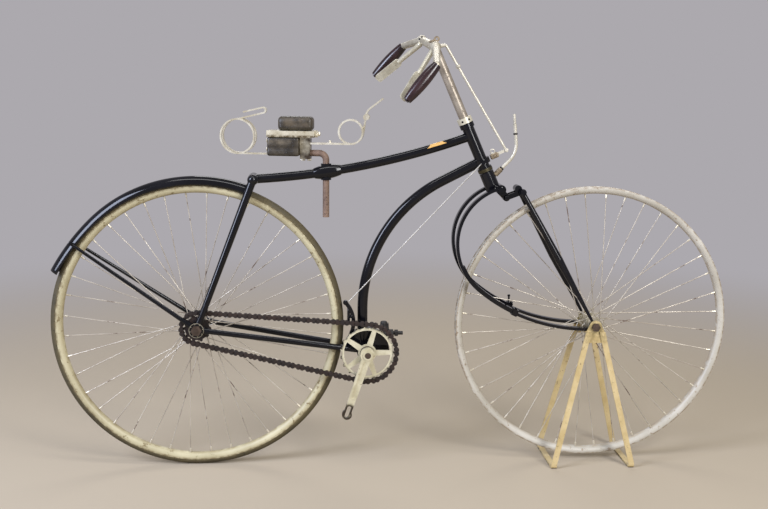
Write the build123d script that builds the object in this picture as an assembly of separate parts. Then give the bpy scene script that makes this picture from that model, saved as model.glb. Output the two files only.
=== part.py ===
from build123d import *
import os
from math import asin, atan2, cos, degrees, hypot, pi, radians, sin, sqrt, tan

# Safety bicycle of about 1889 with a sprung front fork, standing on a strap stand under its front axle.
# Millimetres. +X runs forward, +Y to the rider's left, +Z up. The working frame has its origin on the
# floor below the rear hub, and everything is moved at the end so that the origin lies mid-length.

# Wheels
TYRE_RADIUS = 381.0
TYRE_SECTION = 12.5
RIM_DROP = 14.0
RIM_DEPTH = 18.0
RIM_HALF_WIDTH = 13.5
RIM_LIP = 0.8
TYRE_SEAT_GAP = 0.3
WHEEL_GAP = 285.0
SPOKES_PER_SIDE = 20
SPOKE_RADIUS = 1.2
SPOKE_LANE = 1.6
SPOKE_RIM_GAP = 0.25
HUB_BARREL = 13.0
HUB_FLANGE = 22.0
FLANGE_THICK = 4.0
FLANGE_Y = 25.0
HUB_SIDE_GAP = 0.5
AXLE_RADIUS = 4.8
AXLE_FIT = 0.05

# Steering head
HEAD_ANGLE = 24.0
HEAD_REACH = 61.0
HEAD_RISE = 81.5
HEAD_TOP = 75.0
HEAD_BOTTOM = -61.0
HEAD_RADIUS = 15.5
STEERER_RADIUS = 11.2
STEERER_GAP = 0.3
CUP_RADIUS = 19.0
CUP_HEIGHT = 12.0
CLAMP_HEIGHT = 15.0
CLAMP_RADIUS = 19.5
STEM_RADIUS = 12.5
STEM_TOP = 287.0

# Frame tubes
BACKBONE_RADIUS = 12.0
BACKBONE_HEAD_RISE = 36.5
BACKBONE_SWEEP = 2000.0
REAR_CROWN_ANGLE = 69.2
REAR_CROWN_RADIUS = 14.0
REAR_CROWN_GAP = 5.0
SEAT_LUG_LENGTH = 70.0
SEAT_LUG_SWELL = 6.5
SEAT_LUG_EDGE = 1.0
SEAT_LUG_WALL = 5.0
SEAT_LUG_HEIGHT = 42.0
SEAT_STAY_TOP_Y = 27.0
SEAT_STAY_TOP_RADIUS = 10.5
SEAT_STAY_END_RADIUS = 8.0
DOWN_TUBE_RADIUS = 13.5
DOWN_TUBE_BACK = 11.2
DOWN_TUBE_CORNER_DROP = 186.5
DOWN_TUBE_HEAD_DROP = 28.5
DOWN_TUBE_BEND = 380.0
CHAIN_STAY_RADIUS = 8.0
CHAIN_STAY_FRONT_Y = 17.0
FORK_END_Y = 50.0
FORK_END_THICK = 16.0
FORK_END_RADIUS = 19.5
STAY_SOCKET_WALL = 2.0
STAY_SOCKET_LENGTH = 12.0
SOCKET_INSET = 4.0
AXLE_NUT_RADIUS = 14.0
FRONT_NUT_RADIUS = 11.5
AXLE_NUT_THICK = 8.0

# Bottom bracket, chain and crank
BRACKET_DROP = 70.0
BRACKET_RADIUS = 26.0
BRACKET_HALF_WIDTH = 30.0
BRACKET_DISC_RADIUS = 60.0
BRACKET_DISC_HALF = 12.0
SPINDLE_RADIUS = 8.0
SPINDLE_SHOULDER = 2.0
LEFT_SEAT_RADIUS = 7.4
LEFT_SEAT_LENGTH = 30.0
BRACKET_REACH = 61.0
CHAIN_PITCH = 25.4
CHAIN_Y = -40.0
BLOCK_PINS = 10.2
BLOCK_HALF_HEIGHT = 4.2
BLOCK_HALF_WIDTH = 3.5
PLATE_THICK = 1.2
PLATE_HALF_HEIGHT = 3.5
CHAIN_PIN_RADIUS = 2.4
PLATE_GAP = 0.3
CHAINWHEEL_TEETH = 19
SPROCKET_TEETH = 10
TOOTH_GAP = 0.6
TOOTH_HEIGHT = 4.5
TOOTH_ROOT_HALF = 4.5
TOOTH_TIP_HALF = 2.2
RING_HEIGHT = 6.5
WHEEL_THICK = 4.0
SPIDER_RADIUS = 24.0
CHAINWHEEL_ARMS = 5
ARM_TURN = 73.0
ARM_ROOT_HALF = 9.0
ARM_TIP_HALF = 5.5
SPINDLE_END = 5.0
CRANK_LENGTH = 170.0
CRANK_ANGLE = -108.4
CRANK_Y = -54.0
CRANK_THICK = 12.0
CRANK_EYE_RADIUS = 19.0
CRANK_ROOT_HALF = 12.0
CRANK_WAIST_HALF = 9.0
CRANK_END_RADIUS = 13.0
CRANK_GROOVE_DEPTH = 2.0
PEDAL_SLOT_INSET = 8.0
PEDAL_SLOT_LENGTH = 34.0
PEDAL_SLOT_WIDTH = 11.0
ADJUSTER_RISE = 44.0
ADJUSTER_SEAT = 6.0
ADJUSTER_RADIUS = 10.0
ADJUSTER_BARREL = 36.0
ADJUSTER_STUD = 26.0
ADJUSTER_STUD_RADIUS = 5.0
ADJUSTER_KNOB = 27.0

# Saddle without its leather
PILLAR_BACK = 47.0
PILLAR_RISE = 71.0
PILLAR_DROP = 166.0
PILLAR_RADIUS = 8.5
PILLAR_BEND = 18.0
PILLAR_ARM = 66.0
SADDLE_TWIST = -10.0
SADDLE_COLLAR_LENGTH = 26.0
SADDLE_COLLAR_HALF = 15.0
SADDLE_PLATE_RISE = 41.0
SADDLE_PLATE_THICK = 16.0
SADDLE_PLATE_LENGTH = 124.0
SADDLE_PLATE_OVERHANG = 13.0
SADDLE_PLATE_HALF = 27.0
LOWER_PAD_HALF = 25.0
LOWER_PAD_DROP = 8.0
UPPER_PAD_HALF = 22.0
UPPER_PAD_HEIGHT = 36.0
UPPER_PAD_BACK = 28.0
UPPER_PAD_FRONT = 6.0
UPPER_PAD_BEVEL = 12.0
REAR_COIL_BACK = 230.0
REAR_COIL_RISE = 41.0
REAR_COIL_RADIUS = 46.0
REAR_SPRING_THICK = 4.0
REAR_SPRING_INNER = 3.0
REAR_SPRING_WIDTH = 13.0
REAR_HOOK_RUN = 66.0
REAR_HOOK_RISE = 16.0
REAR_HOOK_RADIUS = 9.0
REAR_HOOK_BACK = 52.0
FRONT_COIL_AHEAD = 65.0
FRONT_COIL_RISE = 56.0
FRONT_COIL_RADIUS = 33.0
FRONT_SPRING_THICK = 4.5
FRONT_SPRING_INNER = 1.0
FRONT_SPRING_WIDTH = 12.0
NOSE_LEAN = 8.0
NOSE_RISE = 52.0
NOSE_TIP_RUN = 50.0
NOSE_TIP_RISE = 84.0
NOSE_BEND = 30.0
NOSE_NUT_RADIUS = 8.0
NOSE_NUT_RISE = 38.0
SPRING_BRIDGE = 18.0

# Mudguard
GUARD_GAP = 10.0
GUARD_HALF_WIDTH = 19.0
GUARD_THICK = 1.6
GUARD_FRONT_ANGLE = 65.0
GUARD_TURN_ANGLE = 135.0
GUARD_TIP_ANGLE = 158.4
GUARD_TIP_FLARE = 11.2
GUARD_SAG = 5.0
GUARD_STUD_RADIUS = 5.0
GUARD_STAY_ANGLE = 145.4
GUARD_STAY_RADIUS = 6.0
GUARD_STAY_TIP = 4.0
GUARD_STAY_INSET = 3.3

# Spring fork
BLADE_Y = 34.0
BLADE_WIDTH = 16.0
BLADE_THICK = 8.0
BLADE_TOP_REACH = 119.0
BLADE_TOP_DROP = 18.0
BLADE_BACK_REACH = 13.0
BLADE_BACK_DROP = 157.0
BLADE_BEND_REACH = 71.0
BLADE_BEND_RISE = 101.0
LEAF_THICK = 4.0
LEAF_START_SHARE = 0.45
LEAF_END_SHARE = 0.36
CLIP_LENGTH = 15.0
CLIP_WALL = 3.0
CROWN_BAR_RADIUS = 13.0
CROWN_DROP = 52.0
CROWN_GAP = 2.0
KNUCKLE_AHEAD = 22.0
KNUCKLE_DROP = 24.0
KNUCKLE_RADIUS = 10.0
LINK_AHEAD = 40.0
LINK_RISE = 15.0
LINK_PIN_RADIUS = 5.0
LINK_PIN_END = 4.0
LINK_BOSS_RADIUS = 8.0
LINK_PLATE_HALF = 7.0
LINK_PLATE_THICK = 5.0
LINK_KNOB_RADIUS = 9.5
LINK_KNOB_BACK = 10.0
LINK_KNOB_RISE = 8.0
LEG_TOP_Y = 25.0
LEG_TOP_EYE = 9.0
LEG_TOP_HALF = 5.0
LEG_MID_RADIUS = 10.0
LEG_END_RADIUS = 6.0
LEG_EYE_THICK = 6.0
LEG_EYE_RADIUS = 11.0

# Handlebar
BAR_RADIUS = 10.0
BAR_HEAD_RADIUS = 15.0
BAR_SOCKET = (-15.0, 80.0, 9.0)
BAR_ELBOW = (-40.0, 200.0, -20.0)
BAR_END = (-110.0, 216.0, -97.0)
BAR_SOCKET_RADIUS = 13.0
BAR_ROLL = 7.4
BAR_SKEW = 6.51
GRIP_ROOT_RADIUS = 11.5
GRIP_RADIUS = 15.5
GRIP_TIP_RADIUS = 10.0
GRIP_OVERHANG = 6.0
LEVER_ROOT = (-22.0, 72.0, -2.0)
LEVER_TIP = (-113.0, 170.0, -104.0)
LEVER_RADIUS = 7.0
PALM_SHARE = 0.5
PALM_WIDTH = 22.0
PALM_THICK = 6.0

# Brake
BRAKE_COLLAR_S = -40.0
BRAKE_COLLAR_HEIGHT = 14.0
BRAKE_COLLAR_WALL = 6.0
BRAKE_WIRE_Y = 21.0
BRAKE_WIRE_RADIUS = 1.5
BRAKE_ROD_RADIUS = 3.5
BRAKE_ROD_AHEAD = 70.0
BRAKE_ROD_TOP_AHEAD = 29.0
BRAKE_ROD_TOP_DROP = 7.0
BRAKE_ARM_ALONG = -31.0
BRAKE_ARM_LENGTH = 43.0
SPOON_GAP = 8.0
SPOON_HEIGHT = 32.0
SPOON_THICK = 4.0
SPOON_RISE = 97.0
SPOON_END_Y = 10.0
PEDAL_LEVER_BACK = 30.0
PEDAL_LEVER_RISE = 41.0
PEDAL_LEVER_TOP = 139.0
PEDAL_LEVER_THICK = 5.0
LAMP_ROD_RADIUS = 4.5
LAMP_ROD_BEND = 60.0
LAMP_ELBOW_AHEAD = 93.0
LAMP_ELBOW_ALONG = -50.0
LAMP_TIP_AHEAD = 117.0
LAMP_TIP_ALONG = 22.0
LAMP_PIN_RADIUS = 3.5
LAMP_PIN_LENGTH = 26.0

# Stand under the front axle
STRAP_WIDTH = 15.0
STRAP_THICK = 5.0
STRAP_TOP_X = 18.0
STRAP_TOP_DROP = 12.5
STRAP_FOOT_X = 105.0
STRAP_FOOT_Y = 92.0
STRAP_BEND = 8.0
STRAP_FOOT_HEIGHT = 12.0
STAND_PLATE_THICK = 3.5
STAND_PLATE_RADIUS = 17.0
STAND_PLATE_HALF = 25.0
STAND_PLATE_SHOULDER = 14.0
STAND_PLATE_DROP = 43.0

REAR_X = 0.0
HUB_Z = TYRE_RADIUS
RIM_OUTER = TYRE_RADIUS - RIM_DROP
RIM_INNER = RIM_OUTER - RIM_DEPTH
WHEELBASE = 2 * TYRE_RADIUS + WHEEL_GAP
FRONT_X = REAR_X + WHEELBASE
REAR_EDGE = REAR_X + TYRE_RADIUS
FRONT_EDGE = FRONT_X - TYRE_RADIUS
WHEEL_TOP = HUB_Z + TYRE_RADIUS
LENGTH_MID_X = (WHEELBASE + RIM_OUTER - TYRE_RADIUS) / 2
HEAD_X = FRONT_EDGE + HEAD_REACH
HEAD_Z = WHEEL_TOP + HEAD_RISE
HEAD_COS = cos(radians(HEAD_ANGLE))
HEAD_SIN = sin(radians(HEAD_ANGLE))
HEAD = Plane(origin=(HEAD_X, 0, HEAD_Z), x_dir=(HEAD_COS, 0, HEAD_SIN), z_dir=(-HEAD_SIN, 0, HEAD_COS))

# The chain has a whole number of links, and its closed length sets how far ahead the bracket lies.
BIG_RADIUS = CHAIN_PITCH / 2 / sin(pi / CHAINWHEEL_TEETH)
SMALL_RADIUS = CHAIN_PITCH / 2 / sin(pi / SPROCKET_TEETH)
WANTED_CENTRES = hypot(TYRE_RADIUS + BRACKET_REACH, BRACKET_DROP)
WRAP = pi * (BIG_RADIUS + SMALL_RADIUS)
RADIUS_STEP = BIG_RADIUS - SMALL_RADIUS
WANTED_LOOP = 2 * WANTED_CENTRES + WRAP + RADIUS_STEP**2 / WANTED_CENTRES
CHAIN_LINKS = round(WANTED_LOOP / CHAIN_PITCH)
LOOP_REST = CHAIN_LINKS * CHAIN_PITCH - WRAP
CENTRES = (LOOP_REST + sqrt(LOOP_REST**2 - 8 * RADIUS_STEP**2)) / 4
BRACKET_X = REAR_X + sqrt(CENTRES**2 - BRACKET_DROP**2)
BRACKET_Z = HUB_Z - BRACKET_DROP
DOWN_TUBE_X = BRACKET_X - DOWN_TUBE_BACK
LEFT_SEAT_Y = BRACKET_HALF_WIDTH + SPINDLE_SHOULDER
FORK_END_MID = FORK_END_Y + FORK_END_THICK / 2

GUARD_RADIUS = TYRE_RADIUS + GUARD_GAP
REAR_CROWN_REACH = GUARD_RADIUS + GUARD_THICK + REAR_CROWN_GAP + REAR_CROWN_RADIUS
REAR_CROWN_X = REAR_X + REAR_CROWN_REACH * cos(radians(REAR_CROWN_ANGLE))
REAR_CROWN_Z = HUB_Z + REAR_CROWN_REACH * sin(radians(REAR_CROWN_ANGLE))
PILLAR_X = REAR_EDGE - PILLAR_BACK
PILLAR_Z = WHEEL_TOP + PILLAR_RISE
PILLAR_END_X = PILLAR_X - PILLAR_ARM
SADDLE_PLATE_Z = PILLAR_Z + SADDLE_PLATE_RISE
SADDLE_PLATE_FRONT = PILLAR_END_X + SADDLE_COLLAR_LENGTH + SADDLE_PLATE_OVERHANG
SADDLE_PLATE_BACK = SADDLE_PLATE_FRONT - SADDLE_PLATE_LENGTH

BLADE_TOP_X = FRONT_EDGE + BLADE_TOP_REACH
BLADE_TOP_Z = WHEEL_TOP - BLADE_TOP_DROP
BLADE_BACK_X = FRONT_EDGE + BLADE_BACK_REACH
BLADE_BACK_Z = WHEEL_TOP - BLADE_BACK_DROP
BLADE_BEND_X = FRONT_EDGE + BLADE_BEND_REACH
BLADE_BEND_Z = HUB_Z + BLADE_BEND_RISE
KNUCKLE_X = BLADE_TOP_X + KNUCKLE_AHEAD
KNUCKLE_Z = BLADE_TOP_Z - KNUCKLE_DROP
LINK_X = KNUCKLE_X + LINK_AHEAD
LINK_Z = KNUCKLE_Z + LINK_RISE
LEG_EYE_Y = BLADE_Y + BLADE_WIDTH
STAND_PLATE_Y = LEG_EYE_Y + LEG_EYE_THICK


def save(name, shape):
    export_step(Pos(-LENGTH_MID_X, 0, 0) * shape, f"parts/{name}.step")


def head_x(z):
    return HEAD_X - (z - HEAD_Z) * tan(radians(HEAD_ANGLE))


def head_point(ahead, along):
    """A point on the mid-plane, given ahead of and along the steering axis."""
    return HEAD_X + ahead * HEAD_COS - along * HEAD_SIN, HEAD_Z + ahead * HEAD_SIN + along * HEAD_COS


def cross_bar(x, z, radius, y_low, y_high):
    """Round bar along Y."""
    plane = Plane(origin=(x, y_low, z), z_dir=(0, 1, 0))
    return plane * Cylinder(radius, y_high - y_low, align=(Align.CENTER, Align.CENTER, Align.MIN))


def taper(start, end, start_radius, end_radius):
    """Round bar between two points, with its own radius at each end."""
    run = Vector(*end) - Vector(*start)
    plane = Plane(origin=start, z_dir=run)
    on_base = (Align.CENTER, Align.CENTER, Align.MIN)
    if abs(start_radius - end_radius) < 1e-6:
        return plane * Cylinder(start_radius, run.length, align=on_base)
    return plane * Cone(start_radius, end_radius, run.length, align=on_base)


def slab(face, y_low, y_high):
    """Flat piece: an outline drawn in X and Z, from y_low to y_high."""
    return extrude(Plane.XZ.offset(-y_low) * face, amount=y_high - y_low, dir=(0, 1, 0))


def tube(path, radius):
    section = Plane(origin=path @ 0, z_dir=path % 0) * Circle(radius)
    return sweep(section, path=path)


def ribbon(path, thickness, y_low, y_high):
    """Flat spring: a path in X and Z given its thickness on the left, from y_low to y_high."""
    return slab(make_face(path.offset_2d(thickness, side=Side.LEFT)), y_low, y_high)


def both_sides(shape):
    return [shape, mirror(shape, about=Plane.XZ)]


def group(shapes):
    """Like pieces of one node, kept as separate solids."""
    return Compound([solid for shape in shapes for solid in shape.solids()])


def box(x_low, x_high, y_half, z_low, z_high):
    middle = Pos((x_low + x_high) / 2, 0, (z_low + z_high) / 2)
    return middle * Box(x_high - x_low, 2 * y_half, z_high - z_low)


# Wheels


def wheel_ring(face, x):
    """Turns a section drawn as radius and width round a wheel's axle."""
    return Pos(x, 0, HUB_Z) * revolve(Plane.XY * face, axis=Axis.Y)


def rim(x):
    """Crescent rim: a round back and a channel that seats the tyre."""
    seat = TYRE_SECTION + TYRE_SEAT_GAP
    seat_centre = TYRE_RADIUS - TYRE_SECTION
    lip = RIM_HALF_WIDTH - RIM_LIP
    back = ThreePointArc((RIM_OUTER, -RIM_HALF_WIDTH), (RIM_INNER, 0), (RIM_OUTER, RIM_HALF_WIDTH))
    channel = ThreePointArc((RIM_OUTER, lip), (seat_centre - seat, 0), (RIM_OUTER, -lip))
    sides = [Line(back @ 1, channel @ 0), Line(channel @ 1, back @ 0)]
    return wheel_ring(make_face([back, channel] + sides), x)


def tyre(x):
    return wheel_ring(Pos(TYRE_RADIUS - TYRE_SECTION, 0) * Circle(TYRE_SECTION), x)


def hub_with_spokes(x, end_y):
    """Hub barrel with two flanges and tangent spokes that cross in separate lanes."""
    barrel = cross_bar(x, HUB_Z, HUB_BARREL, -end_y, end_y)
    flange = cross_bar(x, HUB_Z, HUB_FLANGE, FLANGE_Y - FLANGE_THICK / 2, FLANGE_Y + FLANGE_THICK / 2)
    hole_radius = HUB_FLANGE - 3
    rim_radius = RIM_INNER - SPOKE_RIM_GAP
    swing = degrees(atan2(sqrt(rim_radius**2 - hole_radius**2), hole_radius))
    spokes = []
    for side in (-1, 1):
        for k in range(SPOKES_PER_SIDE):
            lead = 1 if k % 2 else -1
            turn = 360 / SPOKES_PER_SIDE * k + side * 90 / SPOKES_PER_SIDE
            hub_angle = radians(turn - lead * swing)
            rim_angle = radians(turn)
            hub_y = side * (FLANGE_Y + lead * SPOKE_LANE)
            rim_y = side * (SPOKE_LANE + 1 + lead * SPOKE_LANE)
            start = (x + hole_radius * cos(hub_angle), hub_y, HUB_Z + hole_radius * sin(hub_angle))
            end = (x + rim_radius * cos(rim_angle), rim_y, HUB_Z + rim_radius * sin(rim_angle))
            spokes.append(taper(start, end, SPOKE_RADIUS, SPOKE_RADIUS))
    hub = barrel + both_sides(flange) + spokes
    return hub - cross_bar(x, HUB_Z, AXLE_RADIUS + AXLE_FIT, -end_y - 1, end_y + 1)


def axle(x, nut_y, nut_radius):
    """Plain axle with a hexagon nut outside each fork end."""
    end_y = nut_y + AXLE_NUT_THICK + 2
    nut = extrude(Plane.XZ.offset(-nut_y) * RegularPolygon(nut_radius, 6), amount=-AXLE_NUT_THICK)
    nut = Pos(x, 0, HUB_Z) * nut
    return cross_bar(x, HUB_Z, AXLE_RADIUS, -end_y, end_y) + both_sides(nut)


# Frame


def head_tube():
    length = HEAD_TOP - HEAD_BOTTOM
    on_base = (Align.CENTER, Align.CENTER, Align.MIN)
    cup = Cylinder(CUP_RADIUS, CUP_HEIGHT, align=on_base)
    shape = Pos(0, 0, HEAD_BOTTOM) * Cylinder(HEAD_RADIUS, length, align=on_base)
    shape += [Pos(0, 0, HEAD_BOTTOM) * cup, Pos(0, 0, HEAD_TOP - CUP_HEIGHT) * cup]
    shape -= Pos(0, 0, HEAD_BOTTOM) * Cylinder(STEERER_RADIUS + STEERER_GAP, length, align=on_base)
    return HEAD * shape


def head_core():
    """What the frame tubes stop at: the outside of the head tube."""
    return HEAD * Cylinder(HEAD_RADIUS, 4 * HEAD_TOP)


def backbone_path():
    """Long shallow arc from the head, turned down at the back into the rear crown."""
    front_z = HEAD_Z + BACKBONE_HEAD_RISE
    front = (head_x(front_z), front_z)
    back = (REAR_CROWN_X, REAR_CROWN_Z)
    return Plane.XZ * RadiusArc(front, back, BACKBONE_SWEEP)


def lug_plane():
    """Where the pillar crosses the backbone, with z along the tube."""
    path = backbone_path()
    share = (path @ 0).X - PILLAR_X
    share = share / ((path @ 0).X - (path @ 1).X)
    return Plane(origin=path @ share, z_dir=path % share)


def pillar_hole():
    return Pos(PILLAR_X, 0, lug_plane().origin.Z) * Cylinder(PILLAR_RADIUS, 2 * SEAT_LUG_HEIGHT)


def backbone_body():
    """Backbone tube with the round-ended rear crown across it."""
    crown_y = SEAT_STAY_TOP_Y
    crown = cross_bar(REAR_CROWN_X, REAR_CROWN_Z, REAR_CROWN_RADIUS, -crown_y, crown_y)
    ends = [Pos(REAR_CROWN_X, side * crown_y, REAR_CROWN_Z) * Sphere(REAR_CROWN_RADIUS) for side in (-1, 1)]
    return tube(backbone_path(), BACKBONE_RADIUS) + crown + ends


def backbone():
    return backbone_body() - head_core() - pillar_hole()


def seat_lug():
    """Spindle-shaped lug brazed over the backbone, with the upright bore of the seat pillar."""
    half = SEAT_LUG_LENGTH / 2
    edge = BACKBONE_RADIUS + SEAT_LUG_EDGE
    swell = ThreePointArc((edge, -half), (BACKBONE_RADIUS + SEAT_LUG_SWELL, 0), (edge, half))
    outline = make_face([swell, Polyline((edge, half), (0, half), (0, -half), (edge, -half))])
    plane = lug_plane()
    body = plane * revolve(Plane.XZ * outline, axis=Axis.Z)
    boss = Pos(PILLAR_X, 0, plane.origin.Z) * Cylinder(PILLAR_RADIUS + SEAT_LUG_WALL, SEAT_LUG_HEIGHT)
    return body + boss - tube(backbone_path(), BACKBONE_RADIUS) - pillar_hole()


def down_tube_body():
    head_z = HEAD_Z - DOWN_TUBE_HEAD_DROP
    head_end = (head_x(head_z), head_z)
    corner = (DOWN_TUBE_X, HEAD_Z - DOWN_TUBE_CORNER_DROP)
    path = Plane.XZ * FilletPolyline((DOWN_TUBE_X, BRACKET_Z), corner, head_end, radius=DOWN_TUBE_BEND)
    return tube(path, DOWN_TUBE_RADIUS)


def down_tube():
    return down_tube_body() - head_core() - bracket_body()


def bracket_body():
    """Bottom bracket casting: a shell with a half disc above it."""
    shell = cross_bar(BRACKET_X, BRACKET_Z, BRACKET_RADIUS, -BRACKET_HALF_WIDTH, BRACKET_HALF_WIDTH)
    disc = cross_bar(BRACKET_X, BRACKET_Z, BRACKET_DISC_RADIUS, -BRACKET_DISC_HALF, BRACKET_DISC_HALF)
    reach = 2 * BRACKET_DISC_RADIUS
    lower = Pos(BRACKET_X, 0, BRACKET_Z - reach / 2) * Box(reach, reach, reach)
    return shell + (disc - lower)


def bottom_bracket():
    reach = BRACKET_HALF_WIDTH + 1
    return bracket_body() - cross_bar(BRACKET_X, BRACKET_Z, SPINDLE_RADIUS + AXLE_FIT, -reach, reach)


def fork_end_socket(target):
    """Where a stay that heads for the target starts: just inside the rim of the fork end."""
    centre = Vector(REAR_X, FORK_END_MID, HUB_Z)
    heading = (Vector(*target) - centre).normalized()
    return tuple(centre + heading * (FORK_END_RADIUS - SOCKET_INSET))


def chain_stay_front():
    return (BRACKET_X, CHAIN_STAY_FRONT_Y, BRACKET_Z)


def seat_stay_top():
    return (REAR_CROWN_X, SEAT_STAY_TOP_Y, REAR_CROWN_Z)


def guard_stay_top():
    angle = radians(GUARD_STAY_ANGLE)
    reach = GUARD_RADIUS - GUARD_STAY_INSET
    return (REAR_X + reach * cos(angle), GUARD_HALF_WIDTH + 1.5, HUB_Z + reach * sin(angle))


def chain_stays():
    front = chain_stay_front()
    stay = taper(fork_end_socket(front), front, CHAIN_STAY_RADIUS - 1, CHAIN_STAY_RADIUS)
    return group(both_sides(stay - bracket_body() - fork_end_body()))


def seat_stays():
    top = seat_stay_top()
    stay = taper(top, fork_end_socket(top), SEAT_STAY_TOP_RADIUS, SEAT_STAY_END_RADIUS)
    return group(both_sides(stay - backbone_body() - fork_end_body() - mudguard()))


def fork_end_body():
    """Round fork end with a short socket for each of the three stays."""
    body = cross_bar(REAR_X, HUB_Z, FORK_END_RADIUS, FORK_END_Y, FORK_END_Y + FORK_END_THICK)
    # columns: where the stay leads, its radius at this end
    stays = (
        (chain_stay_front(), CHAIN_STAY_RADIUS - 1),
        (seat_stay_top(), SEAT_STAY_END_RADIUS),
        (guard_stay_top(), GUARD_STAY_RADIUS),
    )
    for target, radius in stays:
        start = Vector(*fork_end_socket(target))
        run = (Vector(*target) - start).normalized() * (STAY_SOCKET_LENGTH + SOCKET_INSET)
        body += taper(tuple(start), tuple(start + run), radius + STAY_SOCKET_WALL, radius + STAY_SOCKET_WALL)
    return body


def fork_ends():
    bore = cross_bar(REAR_X, HUB_Z, AXLE_RADIUS, FORK_END_Y - 1, FORK_END_Y + FORK_END_THICK + 1)
    return group(both_sides(fork_end_body() - bore))


def chain_adjuster():
    """Draw bolt ahead of the bottom bracket that tensions the chain."""
    z = BRACKET_Z + ADJUSTER_RISE
    start = BRACKET_X + sqrt(BRACKET_DISC_RADIUS**2 - ADJUSTER_RISE**2) - ADJUSTER_SEAT
    barrel_end = start + ADJUSTER_BARREL
    barrel = taper((start, 0, z), (barrel_end, 0, z), ADJUSTER_RADIUS, ADJUSTER_RADIUS)
    stud_end = (barrel_end + ADJUSTER_STUD, 0, z)
    stud = taper((barrel_end, 0, z), stud_end, ADJUSTER_STUD_RADIUS, ADJUSTER_STUD_RADIUS)
    nut = RegularPolygon(ADJUSTER_RADIUS - 1, 6)
    nut = Plane(origin=(barrel_end + 4, 0, z), z_dir=(1, 0, 0)) * extrude(nut, amount=ADJUSTER_RADIUS - 1)
    knob_x = (start + barrel_end) / 2
    knob = taper((knob_x, 0, z), (knob_x, 0, z + ADJUSTER_KNOB), ADJUSTER_RADIUS - 2, ADJUSTER_RADIUS - 4)
    return barrel + stud + nut + knob - bracket_body()


def mudguard():
    """Sheet guard: concentric over the tyre, then flared out to its tip, with a stud to the rear crown."""
    start = radians(GUARD_FRONT_ANGLE)
    turn = radians(GUARD_TURN_ANGLE)
    tip = radians(GUARD_TIP_ANGLE)
    angles = (start, (start + turn) / 2, turn)
    arc = ThreePointArc(*[(REAR_X + GUARD_RADIUS * cos(a), HUB_Z + GUARD_RADIUS * sin(a)) for a in angles])
    tip_radius = GUARD_RADIUS + GUARD_TIP_FLARE
    tip_point = (REAR_X + tip_radius * cos(tip), HUB_Z + tip_radius * sin(tip))
    tail = TangentArc(arc @ 1, tip_point, tangent=arc % 1)
    path = Plane.XZ * Wire([arc, tail])
    inner_half = GUARD_HALF_WIDTH - GUARD_THICK
    outer = ThreePointArc((-GUARD_HALF_WIDTH, -GUARD_SAG), (0, GUARD_THICK), (GUARD_HALF_WIDTH, -GUARD_SAG))
    inner = ThreePointArc((inner_half, -GUARD_SAG), (0, 0), (-inner_half, -GUARD_SAG))
    section = make_face([outer, Line(outer @ 1, inner @ 0), inner, Line(inner @ 1, outer @ 0)])
    outward = Vector(cos(start), 0, sin(start))
    plane = Plane(origin=path @ 0, x_dir=(0, 1, 0), z_dir=path % 0)
    if plane.y_dir.dot(outward) < 0:
        plane = Plane(origin=path @ 0, x_dir=(0, -1, 0), z_dir=path % 0)
    guard = sweep(plane * section, path=path)
    hub = Vector(REAR_X, 0, HUB_Z)
    crown = Vector(REAR_CROWN_X, 0, REAR_CROWN_Z)
    foot = hub + (crown - hub).normalized() * (GUARD_RADIUS + GUARD_THICK / 2)
    stud = taper(tuple(foot), tuple(crown), GUARD_STUD_RADIUS, GUARD_STUD_RADIUS)
    return guard + (stud - backbone_body())


def mudguard_stays():
    top = guard_stay_top()
    stay = taper(fork_end_socket(top), top, GUARD_STAY_RADIUS, GUARD_STAY_TIP)
    return group(both_sides(stay - fork_end_body()))


# Brake


def brake_collar():
    """Ring on the head that passes the rider's pull to the wire, with a lug at the side."""
    height = BRAKE_COLLAR_HEIGHT
    on_base = (Align.CENTER, Align.CENTER, Align.MIN)
    core = Cylinder(HEAD_RADIUS, height, align=on_base)
    ring = Cylinder(HEAD_RADIUS + BRAKE_COLLAR_WALL, height, align=on_base)
    lug = Pos(0, -HEAD_RADIUS - BRAKE_COLLAR_WALL, height / 2) * Box(12, 12, 8)
    return HEAD * Pos(0, 0, BRAKE_COLLAR_S) * (ring + lug - core) - down_tube_body()


# Chain and crank


def chain_point(distance):
    """Place and heading on the chain's loop, from the back of the top run, going forward."""
    lean = asin((BIG_RADIUS - SMALL_RADIUS) / CENTRES)
    slope = atan2(BRACKET_Z - HUB_Z, BRACKET_X - REAR_X)
    run = CENTRES * cos(lean)
    big_wrap = (pi + 2 * lean) * BIG_RADIUS
    small_wrap = (pi - 2 * lean) * SMALL_RADIUS
    distance = distance % (2 * run + big_wrap + small_wrap)
    up = slope + pi / 2 + lean
    down = slope - pi / 2 - lean
    if distance < run:
        x = REAR_X + SMALL_RADIUS * cos(up) + distance * cos(up - pi / 2)
        z = HUB_Z + SMALL_RADIUS * sin(up) + distance * sin(up - pi / 2)
        return x, z
    distance -= run
    if distance < big_wrap:
        angle = up - distance / BIG_RADIUS
        return BRACKET_X + BIG_RADIUS * cos(angle), BRACKET_Z + BIG_RADIUS * sin(angle)
    distance -= big_wrap
    if distance < run:
        x = BRACKET_X + BIG_RADIUS * cos(down) + distance * cos(down - pi / 2)
        z = BRACKET_Z + BIG_RADIUS * sin(down) + distance * sin(down - pi / 2)
        return x, z
    distance -= run
    angle = down - distance / SMALL_RADIUS
    return REAR_X + SMALL_RADIUS * cos(angle), HUB_Z + SMALL_RADIUS * sin(angle)


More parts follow.
